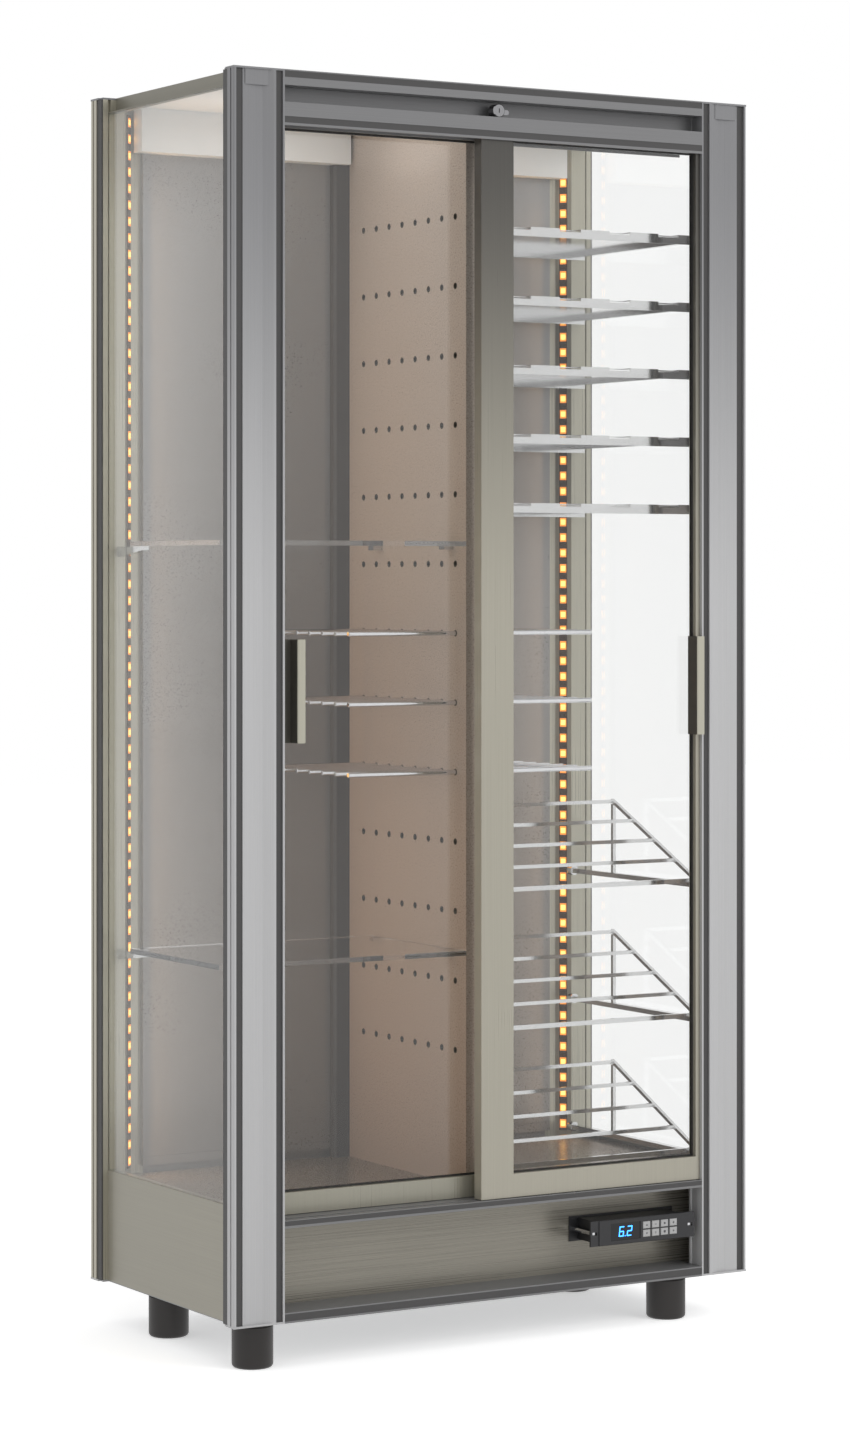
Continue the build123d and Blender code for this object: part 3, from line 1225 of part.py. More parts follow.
def coil_unit(x, base_z):
    """A finned coil with its fan ring, motor and shaft, and the rotor on the shaft."""
    x0 = x - COIL_WIDTH / 2
    x1 = x + COIL_WIDTH / 2
    top = base_z + COIL_HEIGHT
    back = COIL_Y + COIL_DEPTH
    coil = block(x0, x1, COIL_Y + COIL_CORE_SETBACK, back - COIL_CORE_SETBACK, base_z, top)
    pitch = (COIL_WIDTH - FIN_THICK) / (COIL_FINS - 1)
    for i in range(COIL_FINS):
        fin_x = x0 + pitch * i
        coil += block(fin_x, fin_x + FIN_THICK, COIL_Y, back, base_z, top)
    mid_z = base_z + COIL_HEIGHT / 2
    ring_y = COIL_Y - SHROUD_DEPTH
    wall = SHROUD_WALL
    ring = block(x0, x1, ring_y, COIL_Y, base_z, top)
    ring -= block(x0 + wall, x1 - wall, ring_y + wall, COIL_Y + 1, base_z + wall, top - wall)
    ring -= prism_y(RING_SIDES, FAN_DIA / 2 + 2 * FAN_TIP_GAP, ring_y - 1, ring_y + wall + 1, x, mid_z)
    motor_y = ring_y + wall + FAN_DEPTH
    bar_y = motor_y + MOTOR_GAP
    half_bar = MOTOR_BAR / 2
    bar = block(x0 + wall, x1 - wall, bar_y, bar_y + MOTOR_BAR_THICK, mid_z - half_bar, mid_z + half_bar)
    motor = prism_y(FAN_HUB_SIDES, MOTOR_DIA / 2, bar_y, bar_y + MOTOR_LENGTH, x, mid_z)
    shaft = along_y(FAN_SHAFT / 2, motor_y - FAN_SHAFT_REACH, bar_y, x, mid_z)
    return coil, ring + bar + motor + shaft, fan_rotor(x, motor_y - FAN_DEPTH, mid_z)


def build_compressor(base_z):
    """The closed compressor shell on its plate, with four rubber feet under the plate."""
    radius = COMPRESSOR_DIA / 2
    neck = COMPRESSOR_NECK_DIA / 2
    shell = turned([
        (0, 0), (radius, 0), (radius, COMPRESSOR_HEIGHT - COMPRESSOR_SHOULDER),
        (neck, COMPRESSOR_HEIGHT), (0, COMPRESSOR_HEIGHT),
    ])
    plate_z = base_z + COMPRESSOR_LIFT - PLATE_THICK
    half_x = PLATE_LENGTH / 2
    half_y = PLATE_DEPTH / 2
    mid = (COMPRESSOR_X, COMPRESSOR_Y)
    plate = (mid[0] - half_x, mid[0] + half_x, mid[1] - half_y, mid[1] + half_y)
    feet = []
    for dx in (PLATE_FOOT_INSET - half_x, half_x - PLATE_FOOT_INSET):
        for dy in (PLATE_FOOT_INSET - half_y, half_y - PLATE_FOOT_INSET):
            foot_z = (base_z + plate_z) / 2
            feet.append(Pos(mid[0] + dx, mid[1] + dy, foot_z) * Box(PLATE_FOOT, PLATE_FOOT, plate_z - base_z))
    shell = Pos(*mid, base_z + COMPRESSOR_LIFT) * shell
    save("compressor", shell, block(*plate, plate_z, plate_z + PLATE_THICK), *feet)


def pipe(points):
    """A pipe along straight runs with mitred corners."""
    line = Polyline(*points)
    start = Plane(line @ 0, z_dir=line % 0)
    return sweep(start * RegularPolygon(PIPE_DIA / 2, PIPE_SIDES), path=line, transition=Transition.RIGHT)


def build_cooling():
    """Compressor, two finned coils with their fans, piping and the electrics box."""
    pan_top = FOOT_HEIGHT + SHEET
    for name, x in (("condenser", CONDENSER_X), ("evaporator", EVAPORATOR_X)):
        coil, shroud, rotor = coil_unit(x, pan_top)
        save(f"{name}_coil", coil, shroud)
        save(f"{name}_fan", rotor)
    build_compressor(pan_top)

    coil_top = pan_top + COIL_HEIGHT
    can_top = pan_top + COMPRESSOR_LIFT + COMPRESSOR_HEIGHT
    run_z = can_top + PIPE_RISE
    pipe_y = COIL_Y + COIL_DEPTH / 2
    pipes = []
    for coil_x, spread in ((EVAPORATOR_X, -PIPE_SPREAD), (CONDENSER_X, PIPE_SPREAD)):
        can_x = COMPRESSOR_X + spread
        pipes.append(pipe([
            (coil_x, pipe_y, coil_top), (coil_x, pipe_y, run_z), (coil_x, COMPRESSOR_Y, run_z),
            (can_x, COMPRESSOR_Y, run_z), (can_x, COMPRESSOR_Y, can_top),
        ]))
    save("refrigerant_pipes", *pipes)

    back = BACK_OUT_Y - SHEET
    box = (ELECTRICS_X, ELECTRICS_X + ELECTRICS_WIDTH, back - ELECTRICS_DEPTH, back)
    save("electrics_box", block(*box, pan_top, pan_top + ELECTRICS_HEIGHT))


def main():
    """Write every node."""
    os.makedirs("parts", exist_ok=True)
    trims = build_posts()
    trims += build_headers()
    trims += build_sill_and_rails()
    save("trim_strips", *trims)
    build_panels()
    build_back()
    build_side_glass()
    build_partition()
    supports = build_glass_shelves()
    supports += build_right_shelves()
    save("shelf_supports", *supports)
    build_lights()
    build_controller()
    build_lock()
    build_doors()
    build_feet()
    build_cooling()


main()
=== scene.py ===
"""Dresses the wine cooler: finishes for every part, lamps, figures, screws and a plain studio."""

import json
import logging
import math
from collections.abc import Sequence
from dataclasses import dataclass, field
from enum import Enum

import bmesh
import bpy
from mathutils import Matrix, Vector

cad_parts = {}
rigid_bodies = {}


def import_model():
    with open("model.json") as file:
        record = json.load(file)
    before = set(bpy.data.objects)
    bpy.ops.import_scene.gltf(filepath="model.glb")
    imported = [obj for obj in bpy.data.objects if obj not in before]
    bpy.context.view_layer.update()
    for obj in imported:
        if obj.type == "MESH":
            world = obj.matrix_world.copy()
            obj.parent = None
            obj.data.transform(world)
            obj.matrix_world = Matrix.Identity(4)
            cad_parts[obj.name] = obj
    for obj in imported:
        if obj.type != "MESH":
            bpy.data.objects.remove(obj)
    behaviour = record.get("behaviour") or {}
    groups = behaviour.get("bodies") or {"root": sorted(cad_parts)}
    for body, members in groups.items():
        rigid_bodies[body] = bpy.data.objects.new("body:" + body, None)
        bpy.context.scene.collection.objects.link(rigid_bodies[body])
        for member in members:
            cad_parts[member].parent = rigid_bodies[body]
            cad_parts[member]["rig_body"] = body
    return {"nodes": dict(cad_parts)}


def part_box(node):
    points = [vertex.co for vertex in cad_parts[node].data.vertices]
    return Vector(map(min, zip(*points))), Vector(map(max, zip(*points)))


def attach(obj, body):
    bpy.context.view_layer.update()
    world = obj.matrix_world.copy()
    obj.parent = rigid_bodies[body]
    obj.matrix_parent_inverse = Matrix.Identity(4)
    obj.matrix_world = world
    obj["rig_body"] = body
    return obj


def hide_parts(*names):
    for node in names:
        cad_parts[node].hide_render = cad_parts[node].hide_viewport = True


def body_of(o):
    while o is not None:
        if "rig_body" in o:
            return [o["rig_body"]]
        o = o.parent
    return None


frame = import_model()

LOG = logging.getLogger("wine_cooler")
CABINET = "cabinet"
ROOT_HALF = math.sqrt(0.5)
FLOAT, COLOUR, VECTOR = "NodeSocketFloat", "NodeSocketColor", "NodeSocketVector"
GREY = (0.5, 0.5, 0.5, 1)

Triple = tuple[float, float, float]


# ---------------------------------------------------------------- small helpers
def linear(red: int, green: int, blue: int) -> Triple:
    """Turn a display colour into scene-linear values.

    Args:
        red: Red from 0 to 255.
        green: Green from 0 to 255.
        blue: Blue from 0 to 255.

    Returns:
        The three linear values.
    """

    def one(value: int) -> float:
        """One channel."""
        share = value / 255
        return share / 12.92 if share <= 0.04045 else ((share + 0.055) / 1.055) ** 2.4

    return (one(red), one(green), one(blue))


def corners(node: str) -> tuple[Vector, Vector]:
    """The lowest and highest corner of a construction node.

    Args:
        node: The node's name.

    Returns:
        Both corners in metres.
    """
    low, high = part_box(node)
    return Vector(low), Vector(high)


def new_piece(name: str, mesh: bpy.types.Mesh, material: bpy.types.Material) -> bpy.types.Object:
    """Put a finished mesh into the scene.

    Args:
        name: The piece's name.
        mesh: Its mesh, already in place.
        material: Its finish.

    Returns:
        The new object.
    """
    mesh.materials.clear()
    mesh.materials.append(material)
    piece = bpy.data.objects.new(name, mesh)
    bpy.context.scene.collection.objects.link(piece)
    return piece


def mesh_from(name: str, form: bmesh.types.BMesh) -> bpy.types.Mesh:
    """Write a bmesh out with merged points and outward faces.

    Args:
        name: The mesh's name.
        form: The shape, which is freed.

    Returns:
        The mesh.
    """
    bmesh.ops.remove_doubles(form, verts=form.verts, dist=1e-6)
    bmesh.ops.recalc_face_normals(form, faces=form.faces)
    mesh = bpy.data.meshes.new(name)
    form.to_mesh(mesh)
    form.free()
    return mesh


def add_prism(
    form: bmesh.types.BMesh, outline: Sequence[tuple[float, float]], y0: float, y1: float
) -> None:
    """Add a flat outline in X and Z, given thickness along Y.

    Args:
        form: The shape to add to.
        outline: Points (x, z) in order.
        y0: Front of the prism.
        y1: Back of the prism.
    """
    front = [form.verts.new((x, y0, z)) for x, z in outline]
    back = [form.verts.new((x, y1, z)) for x, z in outline]
    form.faces.new(front)
    form.faces.new(list(reversed(back)))
    count = len(outline)
    for i in range(count):
        j = (i + 1) % count
        form.faces.new((front[i], back[i], back[j], front[j]))


def add_block(form: bmesh.types.BMesh, low: Sequence[float], high: Sequence[float], bevel: float = 0) -> None:
    """Add a block between two corners.

    Args:
        form: The shape to add to.
        low: Lowest corner.
        high: Highest corner.
        bevel: Width of the edge that is taken off, nought for none.
    """
    size = [b - a for a, b in zip(low, high)]
    centre = [(a + b) / 2 for a, b in zip(low, high)]
    matrix = Matrix.Translation(centre) @ Matrix.Diagonal((*size, 1))
    made = bmesh.ops.create_cube(form, size=1.0, matrix=matrix)
    if bevel:
        edges = list({edge for vert in made["verts"] for edge in vert.link_edges})
        bmesh.ops.bevel(form, geom=edges, offset=bevel, segments=2, profile=0.6, affect="EDGES")


def lathe(form: bmesh.types.BMesh, profile: Sequence[tuple[float, float]], axis: str, sides: int) -> None:
    """Turn a profile about an axis through the origin: a solid if it starts on the axis, otherwise a ring.

    Args:
        form: The shape to add to.
        profile: (radius, distance along the axis), from one end to the other or round the ring's section.
        axis: "X", "Y" or "Z".
        sides: Number of flat sides round the axis.
    """
    order = {"X": (1, 2, 0), "Y": (0, 2, 1), "Z": (0, 1, 2)}[axis]

    def place(radius: float, along: float, angle: float) -> bmesh.types.BMVert:
        """A point of the turned surface."""
        point = [0.0, 0.0, 0.0]
        point[order[0]] += radius * math.cos(angle)
        point[order[1]] += radius * math.sin(angle)
        point[order[2]] += along
        return form.verts.new(point)

    turns = [2 * math.pi * k / sides for k in range(sides)]
    solid = profile[0][0] == 0
    turned = profile[1:-1] if solid else profile
    rings = [[place(radius, along, angle) for angle in turns] for radius, along in turned]
    pairs = list(zip(rings, rings[1:]))
    if solid:
        start = place(0, profile[0][1], 0)
        finish = place(0, profile[-1][1], 0)
        for k in range(sides):
            j = (k + 1) % sides
            form.faces.new((start, rings[0][j], rings[0][k]))
            form.faces.new((finish, rings[-1][k], rings[-1][j]))
    else:
        pairs.append((rings[-1], rings[0]))
    for inner, outer in pairs:
        for k in range(sides):
            j = (k + 1) % sides
            form.faces.new((inner[k], inner[j], outer[j], outer[k]))


def smooth(mesh: bpy.types.Mesh, angle: float = 35.0) -> bpy.types.Mesh:
    """Shade a mesh smooth except at its sharp edges.

    Args:
        mesh: The mesh.
        angle: The angle in degrees above which an edge stays sharp.

    Returns:
        The same mesh.
    """
    form = bmesh.new()
    form.from_mesh(mesh)
    for face in form.faces:
        face.smooth = True
    for edge in form.edges:
        edge.smooth = len(edge.link_faces) == 2 and edge.calc_face_angle(0.0) < math.radians(angle)
    form.to_mesh(mesh)
    form.free()
    return mesh


class Nodes:
    """Adds nodes to one tree and joins them."""

    def __init__(self, tree: bpy.types.NodeTree) -> None:
        """Keep the tree."""
        self.tree = tree

    def feed(self, node: bpy.types.Node, inputs: dict[str | int, object]) -> None:
        """Give a node its inputs.

        Args:
            node: The node.
            inputs: A value, or the socket to link, for each input by name or number.
        """
        for label, value in inputs.items():
            if isinstance(value, bpy.types.NodeSocket):
                self.tree.links.new(value, node.inputs[label])
            else:
                node.inputs[label].default_value = value

    def put(
        self, kind: str, inputs: dict[str | int, object] | None = None, **settings: object
    ) -> bpy.types.Node:
        """Add a node.

        Args:
            kind: Its type.
            inputs: Its inputs, as for feed.
            **settings: Its own settings.

        Returns:
            The node.
        """
        node = self.tree.nodes.new(kind)
        for label, value in settings.items():
            setattr(node, label, value)
        self.feed(node, inputs or {})
        return node

    def math(self, operation: str, *values: object) -> bpy.types.NodeSocket:
        """The result of a sum on numbers or sockets."""
        return self.put("ShaderNodeMath", dict(enumerate(values)), operation=operation).outputs[0]

    def group(self, tree: bpy.types.NodeTree, **values: object) -> bpy.types.NodeOutputs:
        """The outputs of a shared group placed with its own values."""
        return self.put("ShaderNodeGroup", values, node_tree=tree).outputs


# ---------------------------------------------------------------- shader groups
class ShaderGroups:
    """Shader node groups that several finishes share, each built once."""

    SURFACE = (("Color", COLOUR), ("Roughness", FLOAT), ("Height", FLOAT))

    def __init__(self) -> None:
        """Build the four groups."""
        self.grain = self._grain()
        self.mottle = self._mottle()
        self.handling = self._handling()
        # the height group paints light and shade into a colour, fading from foot to top
        self.tone = self._painted_height_shade()

    @staticmethod
    def _start(
        name: str, inputs: Sequence[tuple[str, str, object]], outputs: Sequence[tuple[str, str]]
    ) -> tuple:
        """Make an empty shader group.

        Args:
            name: The group's name.
            inputs: (name, socket type, default) for each input.
            outputs: (name, socket type) for each output.

        Returns:
            Its nodes, its input sockets, its output node and the place on the object.
        """
        tree = bpy.data.node_groups.new(name, "ShaderNodeTree")
        for label, kind, default in inputs:
            tree.interface.new_socket(label, in_out="INPUT", socket_type=kind).default_value = default
        for label, kind in outputs:
            tree.interface.new_socket(label, in_out="OUTPUT", socket_type=kind)
        nodes = Nodes(tree)
        given = nodes.put("NodeGroupInput").outputs
        return nodes, given, nodes.put("NodeGroupOutput"), nodes.put("ShaderNodeTexCoord").outputs["Object"]

    @staticmethod
    def _surface(nodes: Nodes, base: bpy.types.NodeSocket, end: bpy.types.Node, swing: bpy.types.NodeSocket,
                 rough: bpy.types.NodeSocket, height: bpy.types.NodeSocket) -> bpy.types.NodeTree:
        """Shade a colour by a swing round nought and put out all three values of a surface.

        Args:
            nodes: The group's nodes.
            base: The plain colour.
            end: The output node.
            swing: How much lighter or darker each place is.
            rough: The roughness.
            height: The height.

        Returns:
            The finished group.
        """
        shade = nodes.math("ADD", swing, 1)
        tint = nodes.put("ShaderNodeVectorMath", {0: base, "Scale": shade}, operation="SCALE")
        nodes.feed(end, {"Color": tint.outputs[0], "Roughness": rough, "Height": height})
        return nodes.tree

    def _grain(self) -> bpy.types.NodeTree:
        """Long fine scratches that run the way a brush went over the metal.

        Returns:
            The group with Color, Roughness and Height outputs.
        """
        inputs = [("Base", COLOUR, GREY), ("Stretch", VECTOR, (1, 1, 1)), ("Contrast", FLOAT, 0.1),
                  ("Roughness", FLOAT, 0.35)]
        nodes, given, end, place = self._start("brushed grain", inputs, self.SURFACE)
        stretch = nodes.put("ShaderNodeVectorMath", {0: place, 1: given["Stretch"]}, operation="MULTIPLY")
        noise = nodes.put("ShaderNodeTexNoise", {
            "Scale": 1, "Detail": 3, "Roughness": 0.65, "Vector": stretch.outputs[0]}).outputs["Fac"]
        spread = nodes.put("ShaderNodeMapRange", {
            "From Min": 0.3, "From Max": 0.7, "To Min": -1, "To Max": 1, "Value": noise})
        swing = nodes.math("MULTIPLY", spread.outputs[0], given["Contrast"])
        rough = nodes.math("MULTIPLY_ADD", swing, 0.5, given["Roughness"])
        return self._surface(nodes, given["Base"], end, swing, rough, noise)

    def _mottle(self) -> bpy.types.NodeTree:
        """A fine even texture, as on coated sheet and moulded plastic.

        Returns:
            The group with Color, Roughness and Height outputs.
        """
        inputs = [("Base", COLOUR, GREY), ("Scale", FLOAT, 400.0), ("Contrast", FLOAT, 0.05),
                  ("Roughness", FLOAT, 0.5)]
        nodes, given, end, place = self._start("fine mottle", inputs, self.SURFACE)
        noise = nodes.put("ShaderNodeTexNoise", {
            "Detail": 2, "Vector": place, "Scale": given["Scale"]}).outputs["Fac"]
        swing = nodes.math("MULTIPLY", nodes.math("SUBTRACT", noise, 0.5), given["Contrast"])
        rough = nodes.math("ADD", swing, given["Roughness"])
        return self._surface(nodes, given["Base"], end, swing, rough, noise)

    def _handling(self) -> bpy.types.NodeTree:
        """Broad faint smudges that handling leaves, as a value round nought.

        Returns:
            The group with a Value output.
        """
        inputs = [("Scale", FLOAT, 6.0), ("Amount", FLOAT, 0.05)]
        nodes, given, end, place = self._start("handling marks", inputs, [("Value", FLOAT)])
        noise = nodes.put("ShaderNodeTexNoise", {"Detail": 4, "Vector": place, "Scale": given["Scale"]})
        centred = nodes.math("SUBTRACT", noise.outputs["Fac"], 0.5)
        nodes.feed(end, {"Value": nodes.math("MULTIPLY", centred, given["Amount"])})
        return nodes.tree

    def _painted_height_shade(self) -> bpy.types.NodeTree:
        """Painted light and shade: a colour that changes slowly from a sheet's foot to its top.

        Returns:
            The group with a Color output.
        """
        inputs = [("Foot", COLOUR, GREY), ("Top", COLOUR, GREY), ("Low", FLOAT, 0.25), ("High", FLOAT, 1.95)]
        nodes, given, end, place = self._start("tone by height", inputs, [("Color", COLOUR)])
        split = nodes.put("ShaderNodeSeparateXYZ", {0: place})
        share = nodes.put("ShaderNodeMapRange", {
            "Value": split.outputs["Z"], "From Min": given["Low"], "From Max": given["High"],
        }, interpolation_type="SMOOTHSTEP")
        blend = nodes.put("ShaderNodeMix", {
            "Factor": share.outputs[0], 6: given["Foot"], 7: given["Top"]}, data_type="RGBA")
        nodes.feed(end, {"Color": blend.outputs[2]})
        return nodes.tree


# ---------------------------------------------------------------- finishes
class Grain(Enum):
    """The way a brushed grain runs, as a stretch of the pattern on each axis."""

    ALONG_X = (3.0, 900.0, 900.0)
    ALONG_Y = (900.0, 3.0, 900.0)
    ALONG_Z = (900.0, 900.0, 3.0)


@dataclass(frozen=True)
class Finish:
    """What every finish has: a name, a colour and a way to become a material."""

    name: str
    colour: Triple

    def build(self, groups: ShaderGroups) -> bpy.types.Material:
        """Make the material.

        Args:
            groups: The shared shader groups.

        Returns:
            The material.
        """
        material = bpy.data.materials.new(self.name)
        material.use_nodes = True
        material.diffuse_color = (*self.colour, 1)
        self._fill(Nodes(material.node_tree), material.node_tree.nodes["Principled BSDF"], groups)
        return material

    def _fill(self, nodes: Nodes, shader: bpy.types.Node, groups: ShaderGroups) -> None:
        """Give the bare surface shader its inputs; each finish has its own way."""
        raise NotImplementedError

    def _base(self, nodes: Nodes, groups: ShaderGroups, top: Triple | None, **span: float) -> object:
        """The plain colour, or one that changes with height as painted light and shade.

        Args:
            nodes: The material's nodes.
            groups: The shared shader groups.
            top: The colour at the top, which is painted light or shade, or None for a plain colour.
            **span: Low and High, where the change starts and ends in metres.

        Returns:
            A colour or a socket.
        """
        if not top:
            return (*self.colour, 1)
        # painted light and shade: the colour fades from Foot to Top by height
        return nodes.group(groups.tone, Foot=(*self.colour, 1), Top=(*top, 1), **span)["Color"]

    @staticmethod
    def _bump(nodes: Nodes, height: bpy.types.NodeSocket, shader: bpy.types.Node, strength: float,
              distance: float) -> None:
        """Raise the surface by a height value.

        Args:
            nodes: The material's nodes.
            height: The socket that gives the height.
            shader: The surface shader.
            strength: How strong the bump is.
            distance: Its depth in metres.
        """
        bump = nodes.put("ShaderNodeBump", {"Strength": strength, "Distance": distance, "Height": height})
        nodes.feed(shader, {"Normal": bump.outputs["Normal"]})


@dataclass(frozen=True)
class BrushedMetal(Finish):
    """Metal with a brushed grain."""

    grain: Grain = Grain.ALONG_Z
    metallic: float = 0.75
    roughness: float = 0.38
    contrast: float = 0.1
    smudge: float = 0.08
    # top: colour at the top for painted shade or light by height
    top: Triple | None = None

    def _fill(self, nodes: Nodes, shader: bpy.types.Node, groups: ShaderGroups) -> None:
        """Give the shader a brushed colour, roughness and bump.

        Args:
            nodes: The material's nodes.
            shader: The surface shader.
            groups: The shared shader groups.
        """
        # the base fades from about 1.1 m up into the top colour: painted shade
        skin = nodes.group(
            groups.grain, Base=self._base(nodes, groups, self.top, Low=1.1, High=1.95),
            Stretch=self.grain.value, Contrast=self.contrast, Roughness=self.roughness,
        )
        marks = nodes.group(groups.handling, Scale=5.0, Amount=self.smudge)["Value"]
        nodes.feed(shader, {"Base Color": skin["Color"], "Metallic": self.metallic,
                            "Roughness": nodes.math("ADD", skin["Roughness"], marks)})
        self._bump(nodes, skin["Height"], shader, 0.15, 0.0001)


@dataclass(frozen=True)
class Coated(Finish):
    """Paint, plastic or rubber with a fine even texture."""

    roughness: float = 0.5
    scale: float = 500.0
    contrast: float = 0.06
    bump: float = 0.1
    metallic: float = 0.0
    # top: colour at the top for painted shade or light by height
    top: Triple | None = None

    def _fill(self, nodes: Nodes, shader: bpy.types.Node, groups: ShaderGroups) -> None:
        """Give the shader a mottled colour, roughness and bump.

        Args:
            nodes: The material's nodes.
            shader: The surface shader.
            groups: The shared shader groups.
        """
        skin = nodes.group(groups.mottle, Base=self._base(nodes, groups, self.top), Scale=self.scale,
                           Contrast=self.contrast, Roughness=self.roughness)
        marks = nodes.group(groups.handling, Scale=4.0, Amount=0.08)["Value"]
        nodes.feed(shader, {"Base Color": skin["Color"], "Metallic": self.metallic,
                            "Roughness": nodes.math("ADD", skin["Roughness"], marks)})
        self._bump(nodes, skin["Height"], shader, self.bump, 0.0002)


@dataclass(frozen=True)
class Ribbed(Finish):
    """A dark strip with fine ribs along its length."""

    pitch: float = 0.0016
    roughness: float = 0.45

    def _fill(self, nodes: Nodes, shader: bpy.types.Node, groups: ShaderGroups) -> None:
        """Give the shader a mottled colour and a bump that rises and falls across the strip.

        Args:
            nodes: The material's nodes.
            shader: The surface shader.
            groups: The shared shader groups.
        """
        place = nodes.put("ShaderNodeTexCoord").outputs["Object"]
        split = nodes.put("ShaderNodeSeparateXYZ", {0: place}).outputs
        across = nodes.math("ADD", split["X"], split["Y"])
        share = nodes.math("DIVIDE", nodes.math("PINGPONG", across, self.pitch / 2), self.pitch / 2)
        skin = nodes.group(groups.mottle, Base=(*self.colour, 1), Scale=300.0, Contrast=0.1,
                           Roughness=self.roughness)
        nodes.feed(shader, {"Base Color": skin["Color"], "Roughness": skin["Roughness"]})
        self._bump(nodes, share, shader, 0.5, 0.0005)


@dataclass(frozen=True)
class Polished(Finish):
    """Polished steel or chrome with faint marks."""

    roughness: float = 0.12

    def _fill(self, nodes: Nodes, shader: bpy.types.Node, groups: ShaderGroups) -> None:
        """Give the shader a bright metal with a faint mottle."""
        skin = nodes.group(groups.mottle, Base=(*self.colour, 1), Scale=60.0, Contrast=0.05,
                           Roughness=self.roughness)
        nodes.feed(shader, {"Base Color": skin["Color"], "Roughness": skin["Roughness"], "Metallic": 1.0})


@dataclass(frozen=True)
class ClearGlass(Finish):
    """Clear sheet glass that lets light fall on what is behind it."""

    roughness: float = 0.01

    def _fill(self, nodes: Nodes, shader: bpy.types.Node, groups: ShaderGroups) -> None:
        """Give the shader clear glass, and let shadow and diffuse rays straight through.

        Args:
            nodes: The material's nodes.
            shader: The surface shader.
            groups: The shared shader groups.
        """
        marks = nodes.group(groups.handling, Scale=3.0, Amount=0.02)["Value"]
        rough = nodes.put("ShaderNodeMath", {0: marks, 1: self.roughness}, operation="ADD", use_clamp=True)
        nodes.feed(shader, {
            "Base Color": (*self.colour, 1), "Roughness": rough.outputs[0], "Transmission Weight": 1.0,
            "IOR": 1.45, "Specular IOR Level": 0.3,
        })
        path = nodes.put("ShaderNodeLightPath").outputs
        through = nodes.math("MAXIMUM", path["Is Shadow Ray"], path["Is Diffuse Ray"])
        clear = nodes.put("ShaderNodeBsdfTransparent", {"Color": (0.96, 0.97, 0.965, 1)})
        mix = nodes.put("ShaderNodeMixShader", {0: through, 1: shader.outputs[0], 2: clear.outputs[0]})
        nodes.feed(nodes.tree.nodes["Material Output"], {"Surface": mix.outputs[0]})


@dataclass(frozen=True)
class Glowing(Finish):
    """A lit surface."""

    strength: float = 5.0

    def _fill(self, nodes: Nodes, shader: bpy.types.Node, groups: ShaderGroups) -> None:
        """Give the shader a glow of its own colour."""
        skin = nodes.group(groups.mottle, Base=(*self.colour, 1), Scale=200.0, Contrast=0.1, Roughness=0.4)
        nodes.feed(shader, {"Base Color": skin["Color"], "Emission Color": skin["Color"],
                            "Emission Strength": self.strength, "Roughness": 0.4})


# painted shade: the posts' silver darkens towards the top
SILVER = BrushedMetal("anodised_silver", linear(182, 182, 183), Grain.ALONG_Z, 0.15, 0.42, 0.04,
                      top=linear(128, 128, 130))
HEADER = BrushedMetal("header_grey", linear(122, 122, 123), Grain.ALONG_X, 0.2, 0.42, 0.05)
DARK_STRIP = Ribbed("anthracite_ribs", linear(68, 67, 67))
REAR_POST = BrushedMetal("rear_post_steel", linear(176, 172, 157), Grain.ALONG_Z, 0.45, 0.3, 0.07)
# painted shade and reflection: the front door stiles darken strongly towards the top
STILE = BrushedMetal("stile_steel", linear(166, 162, 149), Grain.ALONG_Z, 0.35, 0.3, 0.05,
                     top=linear(76, 74, 71))
# painted shade: the rear door stiles darken slightly towards the top
REAR_STILE = BrushedMetal("rear_stile_steel", linear(156, 153, 140), Grain.ALONG_Z, 0.35, 0.3, 0.05,
                          top=linear(150, 147, 140))
HANDLE = BrushedMetal("handle_steel", linear(178, 175, 160), Grain.ALONG_Z, 0.3, 0.3, 0.05)
# painted shade: a dark copy of the handle steel for the pull's web and foot
HANDLE_SHADE = BrushedMetal("handle_painted_shade", linear(84, 82, 76), Grain.ALONG_Z, 0.3, 0.3, 0.05)
BEIGE_X = BrushedMetal("beige_steel_lengthwise", linear(140, 136, 126), Grain.ALONG_X, 0.5, 0.3, 0.2)
BEIGE_SIDE = BrushedMetal("beige_steel_side", linear(154, 150, 138), Grain.ALONG_Y, 0.3, 0.38, 0.05)
ROOF = BrushedMetal("roof_steel", linear(130, 127, 116), Grain.ALONG_Y, 0.3, 0.4, 0.05)
ZINC = BrushedMetal("zinc_sheet", linear(150, 152, 154), Grain.ALONG_X, 0.5, 0.5, 0.08)
CEILING = Coated("ceiling_paint", linear(226, 225, 223), 0.5, 350.0, 0.02)
# painted light: the back wall turns lighter towards the top
BACK_WALL = Coated("back_wall_sheet", linear(136, 131, 127), 0.3, 300.0, 0.12, 0.06, 0.4,
                   top=linear(146, 145, 145))
FLOOR_SHEET = Coated("floor_sheet", linear(133, 123, 112), 0.28, 420.0, 0.3, 0.1, 0.5)
# painted light: the middle wall turns lighter and less warm towards the top
WALL = Coated("partition_coating", linear(170, 153, 141), 0.42, 400.0, 0.9, 0.08, 0.2,
              top=linear(176, 166, 158))
CHANNEL = Coated("channel_grey", linear(74, 72, 71), 0.5)
GLASS = ClearGlass("clear_glass", (0.994, 0.998, 0.996))
STEEL = Polished("polished_steel", linear(206, 206, 206))
CHROME = Polished("bright_chrome", linear(214, 214, 216), 0.08)
LOCK_METAL = Polished("lock_chrome", linear(150, 150, 152), 0.14)
BLACK = Coated("black_moulding", linear(40, 40, 42), 0.42, 900.0, 0.1)
WINDOW = Coated("smoked_window", linear(10, 12, 18), 0.12, 200.0, 0.02, 0.02)
KEY = Coated("key_grey", linear(170, 170, 170), 0.5, 900.0, 0.05)
RUBBER = Coated("black_rubber", linear(34, 30, 28), 0.45, 600.0, 0.1, 0.2)
SEAL = Coated("black_seal", linear(44, 43, 42), 0.6, 900.0, 0.1, 0.1)
